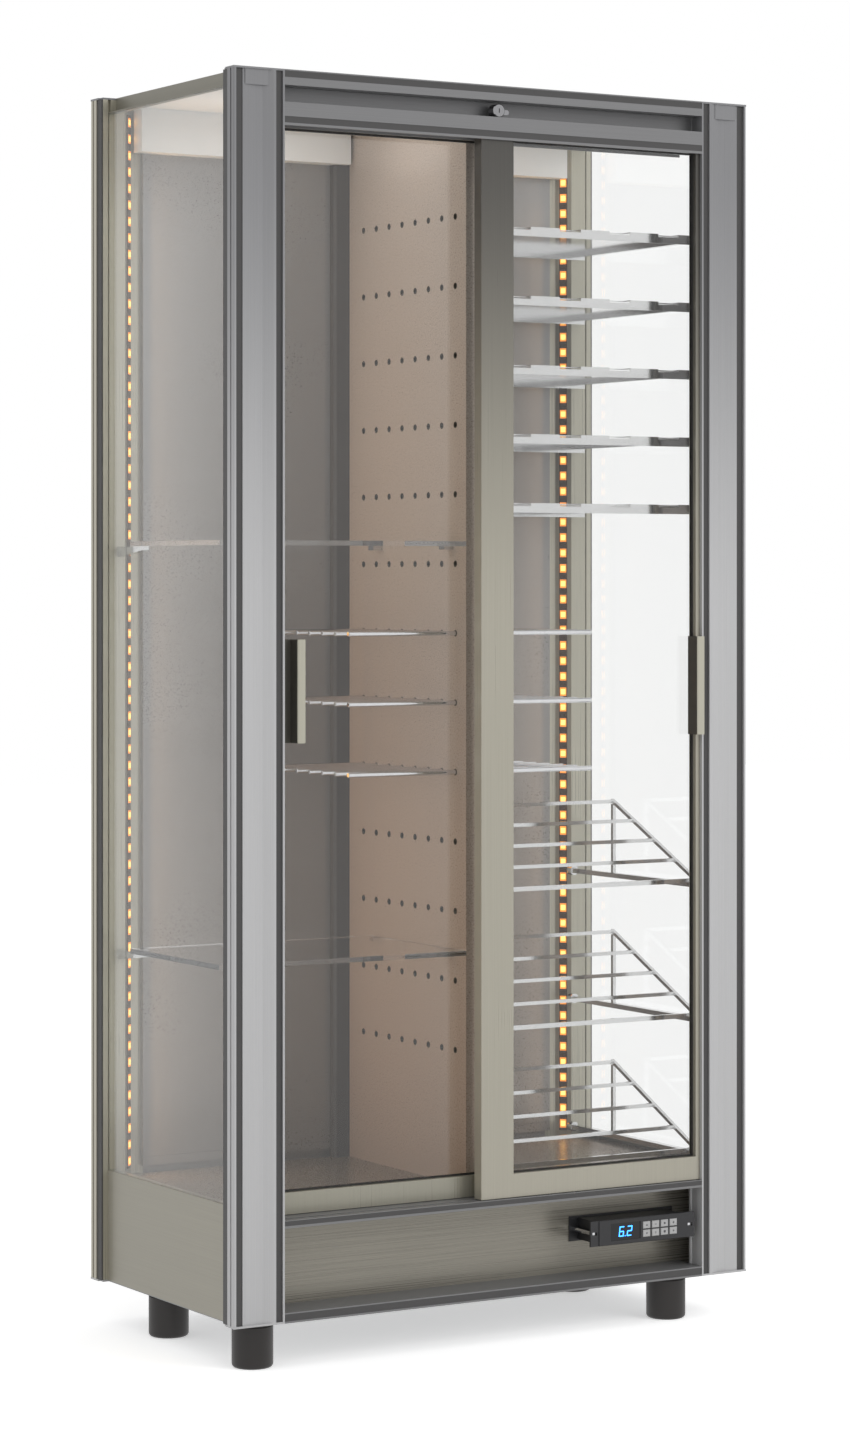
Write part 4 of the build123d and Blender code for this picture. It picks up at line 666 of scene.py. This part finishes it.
SHADE = Coated("shadow_gap", linear(70, 67, 62), 0.6, 400.0, 0.1, 0.1)
NYLON = Coated("nylon", linear(226, 224, 214), 0.45)
ENAMEL = Coated("black_enamel", linear(24, 24, 26), 0.3, 250.0, 0.05)
FIN = BrushedMetal("bare_fin", linear(190, 192, 194), Grain.ALONG_Z, 0.9, 0.35, 0.1)
COPPER = BrushedMetal("drawn_copper", linear(196, 128, 88), Grain.ALONG_X, 1.0, 0.3, 0.08)
STRIP_SKIN = Coated("lamp_strip_skin", linear(70, 48, 30), 0.35, 300.0, 0.1)
AMBER = Glowing("amber_lamp", (1.0, 0.6, 0.15), 1.7)
HALO = Glowing("amber_halo", (1.0, 0.33, 0.04), 0.8)
BLUE = Glowing("blue_figures", linear(60, 150, 255), 3.0)
MARK = Coated("key_marks", linear(70, 70, 74), 0.5)

NODES_BY_FINISH: tuple[tuple[Finish, str], ...] = (
    (SILVER, "post_front_left post_front_right post_end_caps"),
    (REAR_POST, "post_rear_left post_rear_right"),
    (DARK_STRIP, "trim_strips"),
    (HEADER, "header_front header_rear door_track base_rails"),
    (BEIGE_X, "base_panel_front"),
    (BEIGE_SIDE, "base_side_panels"),
    (ROOF, "roof_panel"),
    (ZINC, "base_grille_rear base_pan"),
    (FLOOR_SHEET, "cabinet_floor"),
    (CEILING, "ceiling_panel"),
    (BACK_WALL, "back_panel"),
    (CHANNEL, "back_channel"),
    (WALL, "partition"),
    (GLASS, "side_glass_left side_glass_right glass_shelves front_door_glass rear_door_glass"),
    (STILE, "front_door_frame"),
    (REAR_STILE, "rear_door_frame"),
    (HANDLE, "front_door_handle rear_door_handle"),
    (CHROME, "rod_shelves controller_standoffs"),
    (STEEL, "bottle_shelves display_shelves shelf_supports"),
    (LOCK_METAL, "lock_cylinder lock_plug"),
    (BLACK, "controller_bezel controller_housing electrics_box condenser_fan evaporator_fan"),
    (WINDOW, "controller_display"),
    (RUBBER, "feet"),
    (ENAMEL, "compressor"),
    (FIN, "condenser_coil evaporator_coil"),
    (COPPER, "refrigerant_pipes"),
    (STRIP_SKIN, "led_strips"),
)
KEY_NODES = tuple(f"key_{i}" for i in range(1, 9))
ROLLER_NODES = tuple(f"{door}_door_roller_{side}" for door in ("front", "rear") for side in ("left", "right"))


@dataclass
class Dresser:
    """Builds each finish once and puts it on the construction nodes."""

    groups: ShaderGroups
    built: dict[str, bpy.types.Material] = field(default_factory=dict)

    def material(self, finish: Finish) -> bpy.types.Material:
        """The material of a finish, built at its first use.

        Args:
            finish: The finish.

        Returns:
            Its material.
        """
        if finish.name not in self.built:
            self.built[finish.name] = finish.build(self.groups)
        return self.built[finish.name]

    def dress_nodes(self) -> None:
        """Give every construction node its finish."""
        finishes = {name: finish for finish, names in NODES_BY_FINISH for name in names.split()}
        finishes.update({name: KEY for name in KEY_NODES})
        finishes.update({name: NYLON for name in ROLLER_NODES})
        for name, node in frame["nodes"].items():
            material = self.material(finishes[name])
            for slot in node.material_slots:
                slot.material = material
            LOG.info("dressed %s with %s", name, finishes[name].name)


# ---------------------------------------------------------------- repeated pieces
@dataclass
class Repeats:
    """One small form that geometry nodes set down at many places, kept as one piece of the cabinet."""

    dresser: Dresser
    name: str
    places: Sequence[Triple]
    finish: Finish
    slot: str
    twist: float = 0.0
    seed: int = 7

    def build(self, form: bmesh.types.BMesh) -> bpy.types.Object:
        """Set the form down at every place.

        Args:
            form: The form about its own origin, which is freed.

        Returns:
            The piece.
        """
        source = bpy.data.objects.new(f"{self.name}_form", smooth(mesh_from(f"{self.name}_form", form)))
        bpy.context.scene.collection.objects.link(source)
        tree = bpy.data.node_groups.new(self.name, "GeometryNodeTree")
        tree.interface.new_socket("Geometry", in_out="INPUT", socket_type="NodeSocketGeometry")
        one = tree.interface.new_socket("Form", in_out="INPUT", socket_type="NodeSocketObject").identifier
        turn = tree.interface.new_socket("Twist", in_out="INPUT", socket_type="NodeSocketFloat").identifier
        draw = tree.interface.new_socket("Seed", in_out="INPUT", socket_type="NodeSocketInt").identifier
        tree.interface.new_socket("Geometry", in_out="OUTPUT", socket_type="NodeSocketGeometry")
        nodes = Nodes(tree)
        given = nodes.put("NodeGroupInput").outputs
        info = nodes.put("GeometryNodeObjectInfo", {"Object": given["Form"]})
        angle = nodes.put("FunctionNodeRandomValue", {3: given["Twist"], "Seed": given["Seed"]},
                          data_type="FLOAT")
        axis = nodes.put("ShaderNodeCombineXYZ", {"Y": angle.outputs[1]})
        spread = nodes.put("GeometryNodeInstanceOnPoints", {
            "Points": given["Geometry"], "Instance": info.outputs["Geometry"], "Rotation": axis.outputs[0]})
        real = nodes.put("GeometryNodeRealizeInstances", {0: spread.outputs[0]})
        dress = nodes.put("GeometryNodeSetMaterial", {
            0: real.outputs[0], "Material": self.dresser.material(self.finish)})
        nodes.put("NodeGroupOutput", {0: dress.outputs[0]})

        points = bpy.data.meshes.new(self.name)
        points.from_pydata([tuple(place) for place in self.places], [], [])
        piece = bpy.data.objects.new(self.name, points)
        bpy.context.scene.collection.objects.link(piece)
        modifier = piece.modifiers.new("repeats", "NODES")
        modifier.node_group = tree
        modifier[one] = source
        modifier[turn] = self.twist
        modifier[draw] = self.seed
        mesh = bpy.data.meshes.new_from_object(piece.evaluated_get(bpy.context.evaluated_depsgraph_get()))
        piece.modifiers.clear()
        piece.data = mesh
        bpy.data.objects.remove(source)
        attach(piece, CABINET)
        LOG.info("built %s at %d places", self.name, len(self.places))
        return piece


# ---------------------------------------------------------------- lamps on the rear posts
@dataclass
class LampStrips:
    """Rows of lit chips and their halos along the two strips, set down by geometry nodes."""

    dresser: Dresser
    pitch: float = 0.027
    chip: Triple = (0.0078, 0.0014, 0.0088)
    halo: Triple = (0.0112, 0.0006, 0.0148)
    margin: float = 0.012
    strip_thick: float = 0.0025

    def build(self) -> None:
        """Make a row of chips and a row of halos on each strip."""
        for name, side in (("right", 1), ("left", -1)):
            self._row(f"lamp_chips_{name}", side, self.chip, AMBER)
            self._row(f"lamp_halos_{name}", side, self.halo, HALO)

    def _row(self, name: str, side: int, size: Triple, finish: Finish) -> None:
        """Make one row of lit plates down one strip, turned to its slanted face.

        Args:
            name: The piece's name.
            side: 1 for the right strip, -1 for the left.
            size: Width, depth and height of one plate.
            finish: The plates' finish.
        """
        low, high = corners("led_strips")
        across = high.x - (high.y - low.y) / 2
        out = self.strip_thick / 2 * ROOT_HALF
        x, y, z = side * (across - out), (low.y + high.y) / 2 - out, high.z - self.margin
        count = int((high.z - low.z - 2 * self.margin) / self.pitch) + 1
        form = bmesh.new()
        add_block(form, [-v / 2 for v in size], [v / 2 for v in size])
        bmesh.ops.transform(form, matrix=Matrix.Rotation(-side * math.pi / 4, 4, "Z"), verts=form.verts)
        places = [(x, y, z - self.pitch * k) for k in range(count)]
        Repeats(self.dresser, name, places, finish, "lamp_strip").build(form)


# ---------------------------------------------------------------- control panel
@dataclass
class ControlPanel:
    """The lit figures and the marks on the keys."""

    dresser: Dresser
    figure_height: float = 0.0165
    figure_width: float = 0.0095
    stroke: float = 0.0017
    slant: float = 0.12
    proud: float = 0.0002
    reading: str = "6.2"

    SEGMENTS = {"6": "acdefg", "2": "abdeg", ".": "."}

    def build(self) -> None:
        """Make the figures and the marks on the keys."""
        self._figures()
        self._key_marks()

    def _figures(self) -> None:
        """Seven-stroke figures in front of the window."""
        low, high = corners("controller_display")
        y1 = low.y
        y0 = y1 - self.proud
        form = bmesh.new()
        gap = self.stroke * 1.6
        total = 2 * self.figure_width + 2 * gap + self.stroke
        x = (low.x + high.x) / 2 - total / 2
        z = (low.z + high.z) / 2 - self.figure_height / 2
        for symbol in self.reading:
            for stroke in self.SEGMENTS[symbol]:
                self._stroke(form, stroke, x, z, y0, y1)
            x += self.stroke + gap if symbol == "." else self.figure_width + gap * 0.6
        piece = new_piece("display_figures", mesh_from("display_figures", form), self.dresser.material(BLUE))
        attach(piece, CABINET)
        LOG.info("built display_figures")

    def _stroke(self, form: bmesh.types.BMesh, stroke: str, x: float, z: float, y0: float, y1: float) -> None:
        """Add one of the seven slanted strokes of a figure, or its point.

        Args:
            form: The shape to add to.
            stroke: A letter from a to g, or a point.
            x: Left side of the figure.
            z: Foot of the figure.
            y0: Front of the stroke.
            y1: Back of the stroke.
        """
        w, h, t = self.figure_width, self.figure_height, self.stroke
        inset = t * 0.35
        places = {
            "a": (inset, h - t, w - 2 * inset, t),
            "b": (w - t, h / 2 + inset / 2, t, h / 2 - inset),
            "c": (w - t, inset / 2, t, h / 2 - inset),
            "d": (inset, 0, w - 2 * inset, t),
            "e": (0, inset / 2, t, h / 2 - inset),
            "f": (0, h / 2 + inset / 2, t, h / 2 - inset),
            "g": (inset, (h - t) / 2, w - 2 * inset, t),
            ".": (t * 1.6 * 0.2, 0, t, t),
        }
        dx, dz, width, height = places[stroke]
        outline = [(dx, dz), (dx + width, dz), (dx + width, dz + height), (dx, dz + height)]
        add_prism(form, [(x + px + pz * self.slant, z + pz) for px, pz in outline], y0, y1)

    def _key_marks(self) -> None:
        """A small plain mark on each key: triangles, bars, a disc, a diamond and a square."""
        for i, name in enumerate(KEY_NODES):
            low, high = corners(name)
            x = (low.x + high.x) / 2
            z = (low.z + high.z) / 2
            y1 = low.y
            form = bmesh.new()
            size = 0.0019
            shapes = (
                [(-size, -size * 0.6), (size, -size * 0.6), (0, size)],
                [(-size, -size * 0.25), (size, -size * 0.25), (size, size * 0.25), (-size, size * 0.25)],
                [(math.cos(a) * size, math.sin(a) * size) for a in (k * math.pi / 4 for k in range(8))],
                [(-size, 0), (0, -size), (size, 0), (0, size)],
                [(-size, size * 0.6), (0, -size), (size, size * 0.6)],
                [(-size * 0.3, -size), (size * 0.3, -size), (size * 0.3, size), (-size * 0.3, size)],
                [(-size, -size), (size, -size), (size, size), (-size, size)],
                [(-size * 0.6, -size), (size, 0), (-size * 0.6, size)],
            )
            add_prism(form, [(x + px, z + pz) for px, pz in shapes[i]], y1 - 0.00012, y1 + 0.0001)
            mark = new_piece(f"{name}_mark", mesh_from(f"{name}_mark", form), self.dresser.material(MARK))
            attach(mark, body_of(frame["nodes"][name])[0])
        LOG.info("built key marks")


# ---------------------------------------------------------------- feet
@dataclass
class Feet:
    """Four moulded feet with a rounded tread edge and a small step under the frame."""

    dresser: Dresser
    radius: float = 0.03225
    tread_round: float = 0.006
    step: float = 0.0012
    step_height: float = 0.006

    def build(self) -> None:
        """Make the feet in place of the plain turned ones."""
        low, high = corners("feet")
        top = high.z
        full = self.radius
        arc = [
            (full - self.tread_round * (1 - math.sin(a)), self.tread_round * (1 - math.cos(a)))
            for a in (k * math.pi / 12 for k in range(7))
        ]
        neck = top - self.step_height
        slim = full - self.step
        profile = [(0, 0), *arc, (full, neck), (slim, neck + self.step), (slim, top), (0, top)]
        form = bmesh.new()
        lathe(form, profile, "Z", 64)
        places = [(x, y, 0) for x in (low.x + full, high.x - full) for y in (low.y + full, high.y - full)]
        piece = Repeats(self.dresser, "moulded_feet", places, RUBBER, "black_rubber").build(form)
        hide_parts("feet")


# ---------------------------------------------------------------- middle wall
@dataclass
class MiddleWall:
    """Round rods in place of the faceted ones, and a dark sleeve in every hole of the middle wall, whose
    colour is painted shade in the holes.

    The pitches and counts repeat those of the construction."""

    dresser: Dresser
    rod_radius: float = 0.004
    rod_chamfer: float = 0.0006
    column_pitch: float = 0.0422
    columns: int = 8
    row_pitch: float = 0.112
    hole_rows: int = 13
    rod_rows: int = 3
    rows_below_rods: int = 4
    sleeve_inner: float = 0.00405
    sleeve_outer: float = 0.00413
    flange: float = 0.0053
    proud: float = 0.0003

    def build(self) -> None:
        """Make the rods and the sleeves."""
        low, high = corners("rod_shelves")
        length = high.x - low.x
        y = low.y + self.rod_radius
        z = low.z + self.rod_radius
        ys = [y + self.column_pitch * k for k in range(self.columns)]
        small = self.rod_radius - self.rod_chamfer
        profile = [(0, 0), (small, 0), (self.rod_radius, self.rod_chamfer),
                   (self.rod_radius, length - self.rod_chamfer), (small, length), (0, length)]
        form = bmesh.new()
        lathe(form, profile, "X", 20)
        places = [(low.x, py, z + self.row_pitch * row) for row in range(self.rod_rows) for py in ys]
        rods = Repeats(self.dresser, "round_rods", places, CHROME, "polished_steel").build(form)
        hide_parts("rod_shelves")

        wall_low, wall_high = corners("partition")
        first = z - self.row_pitch * self.rows_below_rods
        run = wall_high.x - wall_low.x + 2 * self.proud
        inner, outer, rim, lip = self.sleeve_inner, self.sleeve_outer, self.flange, self.proud
        section = [(inner, 0), (rim, 0), (rim, lip), (outer, lip), (outer, run - lip), (rim, run - lip),
                   (rim, run), (inner, run)]
        form = bmesh.new()
        lathe(form, section, "X", 20)
        # painted shade: the dark sleeves stand for the shade inside the holes
        places = [
            (wall_low.x - lip, py, first + self.row_pitch * row) for row in range(self.hole_rows) for py in ys
        ]
        Repeats(self.dresser, "hole_sleeves", places, SHADE, "channel_grey").build(form)


# ---------------------------------------------------------------- door seals
@dataclass
class PaneSeals:
    """Dark seals round both faces of a door's pane, riding on the door."""

    dresser: Dresser
    door: str
    bites: tuple[float, float, float]
    width: float = 0.0026
    proud: float = 0.0009
    edge: float = 0.0003

    def build(self) -> None:
        """Make the four strips on each face of the pane."""
        low, high = corners(f"{self.door}_glass")
        left, right, level = self.bites
        x0, x1 = low.x + left, high.x - right
        z0, z1 = low.z + level, high.z - level
        width = self.width
        form = bmesh.new()
        for y0, y1 in ((low.y - self.proud, low.y), (high.y, high.y + self.proud)):
            add_block(form, (x0, y0, z0), (x0 + width, y1, z1), self.edge)
            add_block(form, (x1 - width, y0, z0), (x1, y1, z1), self.edge)
            add_block(form, (x0 + width, y0, z0), (x1 - width, y1, z0 + width), self.edge)
            add_block(form, (x0 + width, y0, z1 - width), (x1 - width, y1, z1), self.edge)
        name = f"{self.door}_seal"
        piece = new_piece(name, mesh_from(name, form), self.dresser.material(SEAL))
        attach(piece, self.door)
        LOG.info("built %s", name)


# ---------------------------------------------------------------- door handles
@dataclass
class Handle:
    """A folded pull with a rounded bend: a pale flange in front, and a web and foot made darker with painted
    shade.
    """

    dresser: Dresser
    door: str
    web_inset: float
    foot_reach: float
    wall: float = 0.003
    bend: float = 0.0026
    bend_steps: int = 6
    # painted shade: faces whose normal x is below this get the dark copy
    shade_facing: float = -0.8

    def build(self) -> None:
        """Make the pull in place of the plain folded one."""
        low, high = corners(f"{self.door}_handle")
        wall = self.wall
        web = low.x + self.web_inset
        turns = [math.pi + math.pi / 2 * k / self.bend_steps for k in range(self.bend_steps + 1)]
        outline = [
            (web + self.bend * (1 + math.cos(a)), low.y + self.bend * (1 + math.sin(a))) for a in turns
        ]
        outline += [(high.x, low.y), (high.x, low.y + wall), (web + wall, low.y + wall)]
        if self.web_inset:
            outline += [(web + wall, high.y), (low.x, high.y), (low.x, high.y - wall), (web, high.y - wall)]
        else:
            foot = web + self.foot_reach
            outline += [(web + wall, high.y - wall), (foot, high.y - wall), (foot, high.y), (web, high.y)]
        form = bmesh.new()
        lower = [form.verts.new((x, y, low.z)) for x, y in outline]
        upper = [form.verts.new((x, y, high.z)) for x, y in outline]
        form.faces.new(lower)
        form.faces.new(upper)
        for i in range(len(outline)):
            j = (i + 1) % len(outline)
            form.faces.new((lower[i], lower[j], upper[j], upper[i]))
        name = f"{self.door}_pull"
        mesh = smooth(mesh_from(name, form))
        piece = new_piece(name, mesh, self.dresser.material(HANDLE))
        mesh.materials.append(self.dresser.material(HANDLE_SHADE))
        # painted shade: faces behind the flange and faces turned left get the dark copy
        for face in mesh.polygons:
            face.material_index = int(face.center.y > low.y + wall or face.normal.x < self.shade_facing)
        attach(piece, self.door)
        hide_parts(f"{self.door}_handle")
        LOG.info("built %s", name)


# ---------------------------------------------------------------- rear screws
@dataclass
class RearScrews:
    """Domed screws round the back wall and the rear grille."""

    dresser: Dresser
    radius: float = 0.0042
    height: float = 0.0021
    edge: float = 0.009
    pitch: float = 0.205

    def build(self) -> None:
        """Set the screws round both sheets."""
        places = []
        for node in ("back_panel", "base_grille_rear"):
            low, high = corners(node)
            left, right = low.x + self.edge, high.x - self.edge
            foot, top = low.z + self.edge, high.z - self.edge
            across = max(1, round((right - left) / self.pitch))
            up = max(1, round((top - foot) / self.pitch))
            level = [left + (right - left) * k / across for k in range(across + 1)]
            places += [(x, high.y, z) for z in (foot, top) for x in level]
            places += [(x, high.y, foot + (top - foot) * k / up) for k in range(1, up) for x in (left, right)]
        screws = Repeats(self.dresser, "rear_screws", places, CHROME, "polished_steel", math.pi / 2)
        screws.build(self._head())

    def _head(self) -> bmesh.types.BMesh:
        """One domed head with a round recess in its middle, facing backwards.

        Returns:
            The form.
        """
        form = bmesh.new()
        dome = [(0, 0), (1.0, 0), (1.0, 0.35), (0.86, 0.75), (0.55, 1.0), (0.3, 1.0), (0.24, 0.6), (0, 0.6)]
        lathe(form, [(r * self.radius, h * self.height) for r, h in dome], "Y", 16)
        return form


# ---------------------------------------------------------------- studio
@dataclass
class Studio:
    """Floor, plain light, white surroundings and the camera."""

    eye: Triple = (-3.2298, -5.3988, 1.2162)
    heading: Triple = (0.5145, 0.8575, 0.0)
    lens: float = 95.754
    shift_x: float = -0.0014
    shift_y: float = -0.0977
    world_strength: float = 0.8
    floor_glow: float = 0.45
    floor_size: float = 30.0
    key_place: Triple = (2.6, -4.6, 3.2)
    key_side: float = 3.0
    key_power: float = 90
    lamp_forward: float = 0.12
    down_power: float = 0.4
    up_power: float = 0.15
    amber_power: float = 2.0

    def build(self) -> None:
        """Set everything up."""
        self._camera()
        self._world()
        self._floor()
        self._lights()
        bpy.context.scene.view_settings.view_transform = "Standard"

    def _camera(self) -> None:
        """A level camera on the front left."""
        data = bpy.data.cameras.new("camera")
        data.lens = self.lens
        data.sensor_width = 36
        data.sensor_fit = "AUTO"
        data.shift_x = self.shift_x
        data.shift_y = self.shift_y
        data.clip_end = 100
        camera = bpy.data.objects.new("camera", data)
        camera.location = self.eye
        camera.rotation_euler = Vector(self.heading).to_track_quat("-Z", "Y").to_euler()
        bpy.context.scene.collection.objects.link(camera)
        bpy.context.scene.camera = camera

    def _world(self) -> None:
        """White where it is seen or mirrored, softer where it lights."""
        world = bpy.data.worlds.new("surroundings")
        bpy.context.scene.world = world
        world.use_nodes = True
        nodes = Nodes(world.node_tree)
        path = nodes.put("ShaderNodeLightPath").outputs
        seen = nodes.math("MAXIMUM", path["Is Camera Ray"], path["Is Transmission Ray"])
        level = nodes.put("ShaderNodeMapRange", {
            "To Min": self.world_strength, "To Max": 1.0,
            "Value": nodes.math("MAXIMUM", seen, path["Is Glossy Ray"])})
        back = world.node_tree.nodes["Background"]
        nodes.feed(back, {"Color": (1, 1, 1, 1), "Strength": level.outputs[0]})

    def _floor(self) -> None:
        """A pale floor that turns white away from the object and keeps its shadow."""
        half = self.floor_size / 2
        mesh = bpy.data.meshes.new("floor")
        square = [(-half, -half, 0), (half, -half, 0), (half, half, 0), (-half, half, 0)]
        mesh.from_pydata(square, [], [(0, 1, 2, 3)])
        floor = bpy.data.objects.new("floor", mesh)
        bpy.context.scene.collection.objects.link(floor)
        material = bpy.data.materials.new("floor")
        material.use_nodes = True
        nodes = Nodes(material.node_tree)
        path = nodes.put("ShaderNodeLightPath").outputs
        shader = material.node_tree.nodes["Principled BSDF"]
        nodes.feed(shader, {
            "Base Color": (0.92, 0.92, 0.92, 1), "Roughness": 0.9, "Specular IOR Level": 0.0,
            "Emission Color": (1, 1, 1, 1),
            "Emission Strength": nodes.math("MULTIPLY", path["Is Camera Ray"], self.floor_glow),
        })
        beyond = nodes.math("MAXIMUM", path["Is Transmission Ray"], path["Is Glossy Ray"])
        white = nodes.put("ShaderNodeEmission", {"Color": (1, 1, 1, 1)})
        blend = nodes.put("ShaderNodeMixShader", {0: beyond, 1: shader.outputs[0], 2: white.outputs[0]})
        nodes.feed(material.node_tree.nodes["Material Output"], {"Surface": blend.outputs[0]})
        mesh.materials.append(material)

    def _lights(self) -> None:
        """One large soft lamp in front on the right, and the cabinet's own warm light in both bays."""
        sides = (self.key_side, self.key_side)
        self._lamp("key", self.key_place, (0, 0, 1.0), sides, self.key_power, (1, 1, 1), seen=True)
        wall_low, wall_high = corners("partition")
        _, floor_high = corners("cabinet_floor")
        glass_low, _ = corners("side_glass_right")
        strip_low, strip_high = corners("led_strips")
        beam_low, _ = corners("ceiling_panel")
        depth = wall_high.y - wall_low.y
        front = (wall_low.y + wall_high.y) / 2 - depth * self.lamp_forward
        width = glass_low.x - wall_high.x
        x = wall_high.x + width / 2
        top = wall_high.z - 0.02
        run = beam_low.z - floor_high.z - 0.06
        mid = floor_high.z + run / 2 + 0.02
        for side in (-1, 1):
            at = side * x
            down, up = (width * 0.8, depth * 0.5), (width * 0.7, depth * 0.5)
            self._lamp("inner", (at, front, top), (at, front, 0), down, self.down_power, (1, 0.95, 0.9))
            self._lamp("inner", (at, front, top - 0.1), (at, front, 3), up, self.up_power, (1, 1, 1))
            place = (side * (strip_high.x - 0.02), strip_low.y - 0.012, mid)
            self._lamp("inner", place, (at, 0, mid), (0.02, run), self.amber_power, (1, 0.64, 0.34))

    @staticmethod
    def _lamp(name: str, place: Triple, aim: Triple, size: tuple[float, float], power: float, colour: Triple,
              seen: bool = False) -> None:
        """Add one rectangular area lamp that no pane or metal mirrors.

        Args:
            name: The lamp's name.
            place: Where it is.
            aim: What it points at.
            size: Its sides in metres.
            power: Its power in watts.
            colour: Its colour.
            seen: Whether the camera may see it.
        """
        data = bpy.data.lights.new(name, "AREA")
        data.shape = "RECTANGLE"
        data.size, data.size_y = size
        data.energy = power
        data.color = colour
        lamp = bpy.data.objects.new(name, data)
        lamp.location = place
        lamp.rotation_euler = (Vector(aim) - Vector(place)).to_track_quat("-Z", "Y").to_euler()
        lamp.visible_camera = seen
        lamp.visible_glossy = False
        lamp.visible_transmission = False
        bpy.context.scene.collection.objects.link(lamp)


def main() -> None:
    """Dress the construction, add the fine pieces and set up the studio."""
    logging.basicConfig(level=logging.INFO, format="%(name)s %(message)s")
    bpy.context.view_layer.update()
    dresser = Dresser(ShaderGroups())
    dresser.dress_nodes()
    LampStrips(dresser).build()
    ControlPanel(dresser).build()
    Feet(dresser).build()
    MiddleWall(dresser).build()
    PaneSeals(dresser, "front_door", (0.008, 0.004, 0.008)).build()
    PaneSeals(dresser, "rear_door", (0.004, 0.004, 0.008)).build()
    Handle(dresser, "front_door", 0.0, 0.009).build()
    Handle(dresser, "rear_door", 0.018, 0.0).build()
    RearScrews(dresser).build()
    Studio().build()


if __name__ == "__main__":
    main()
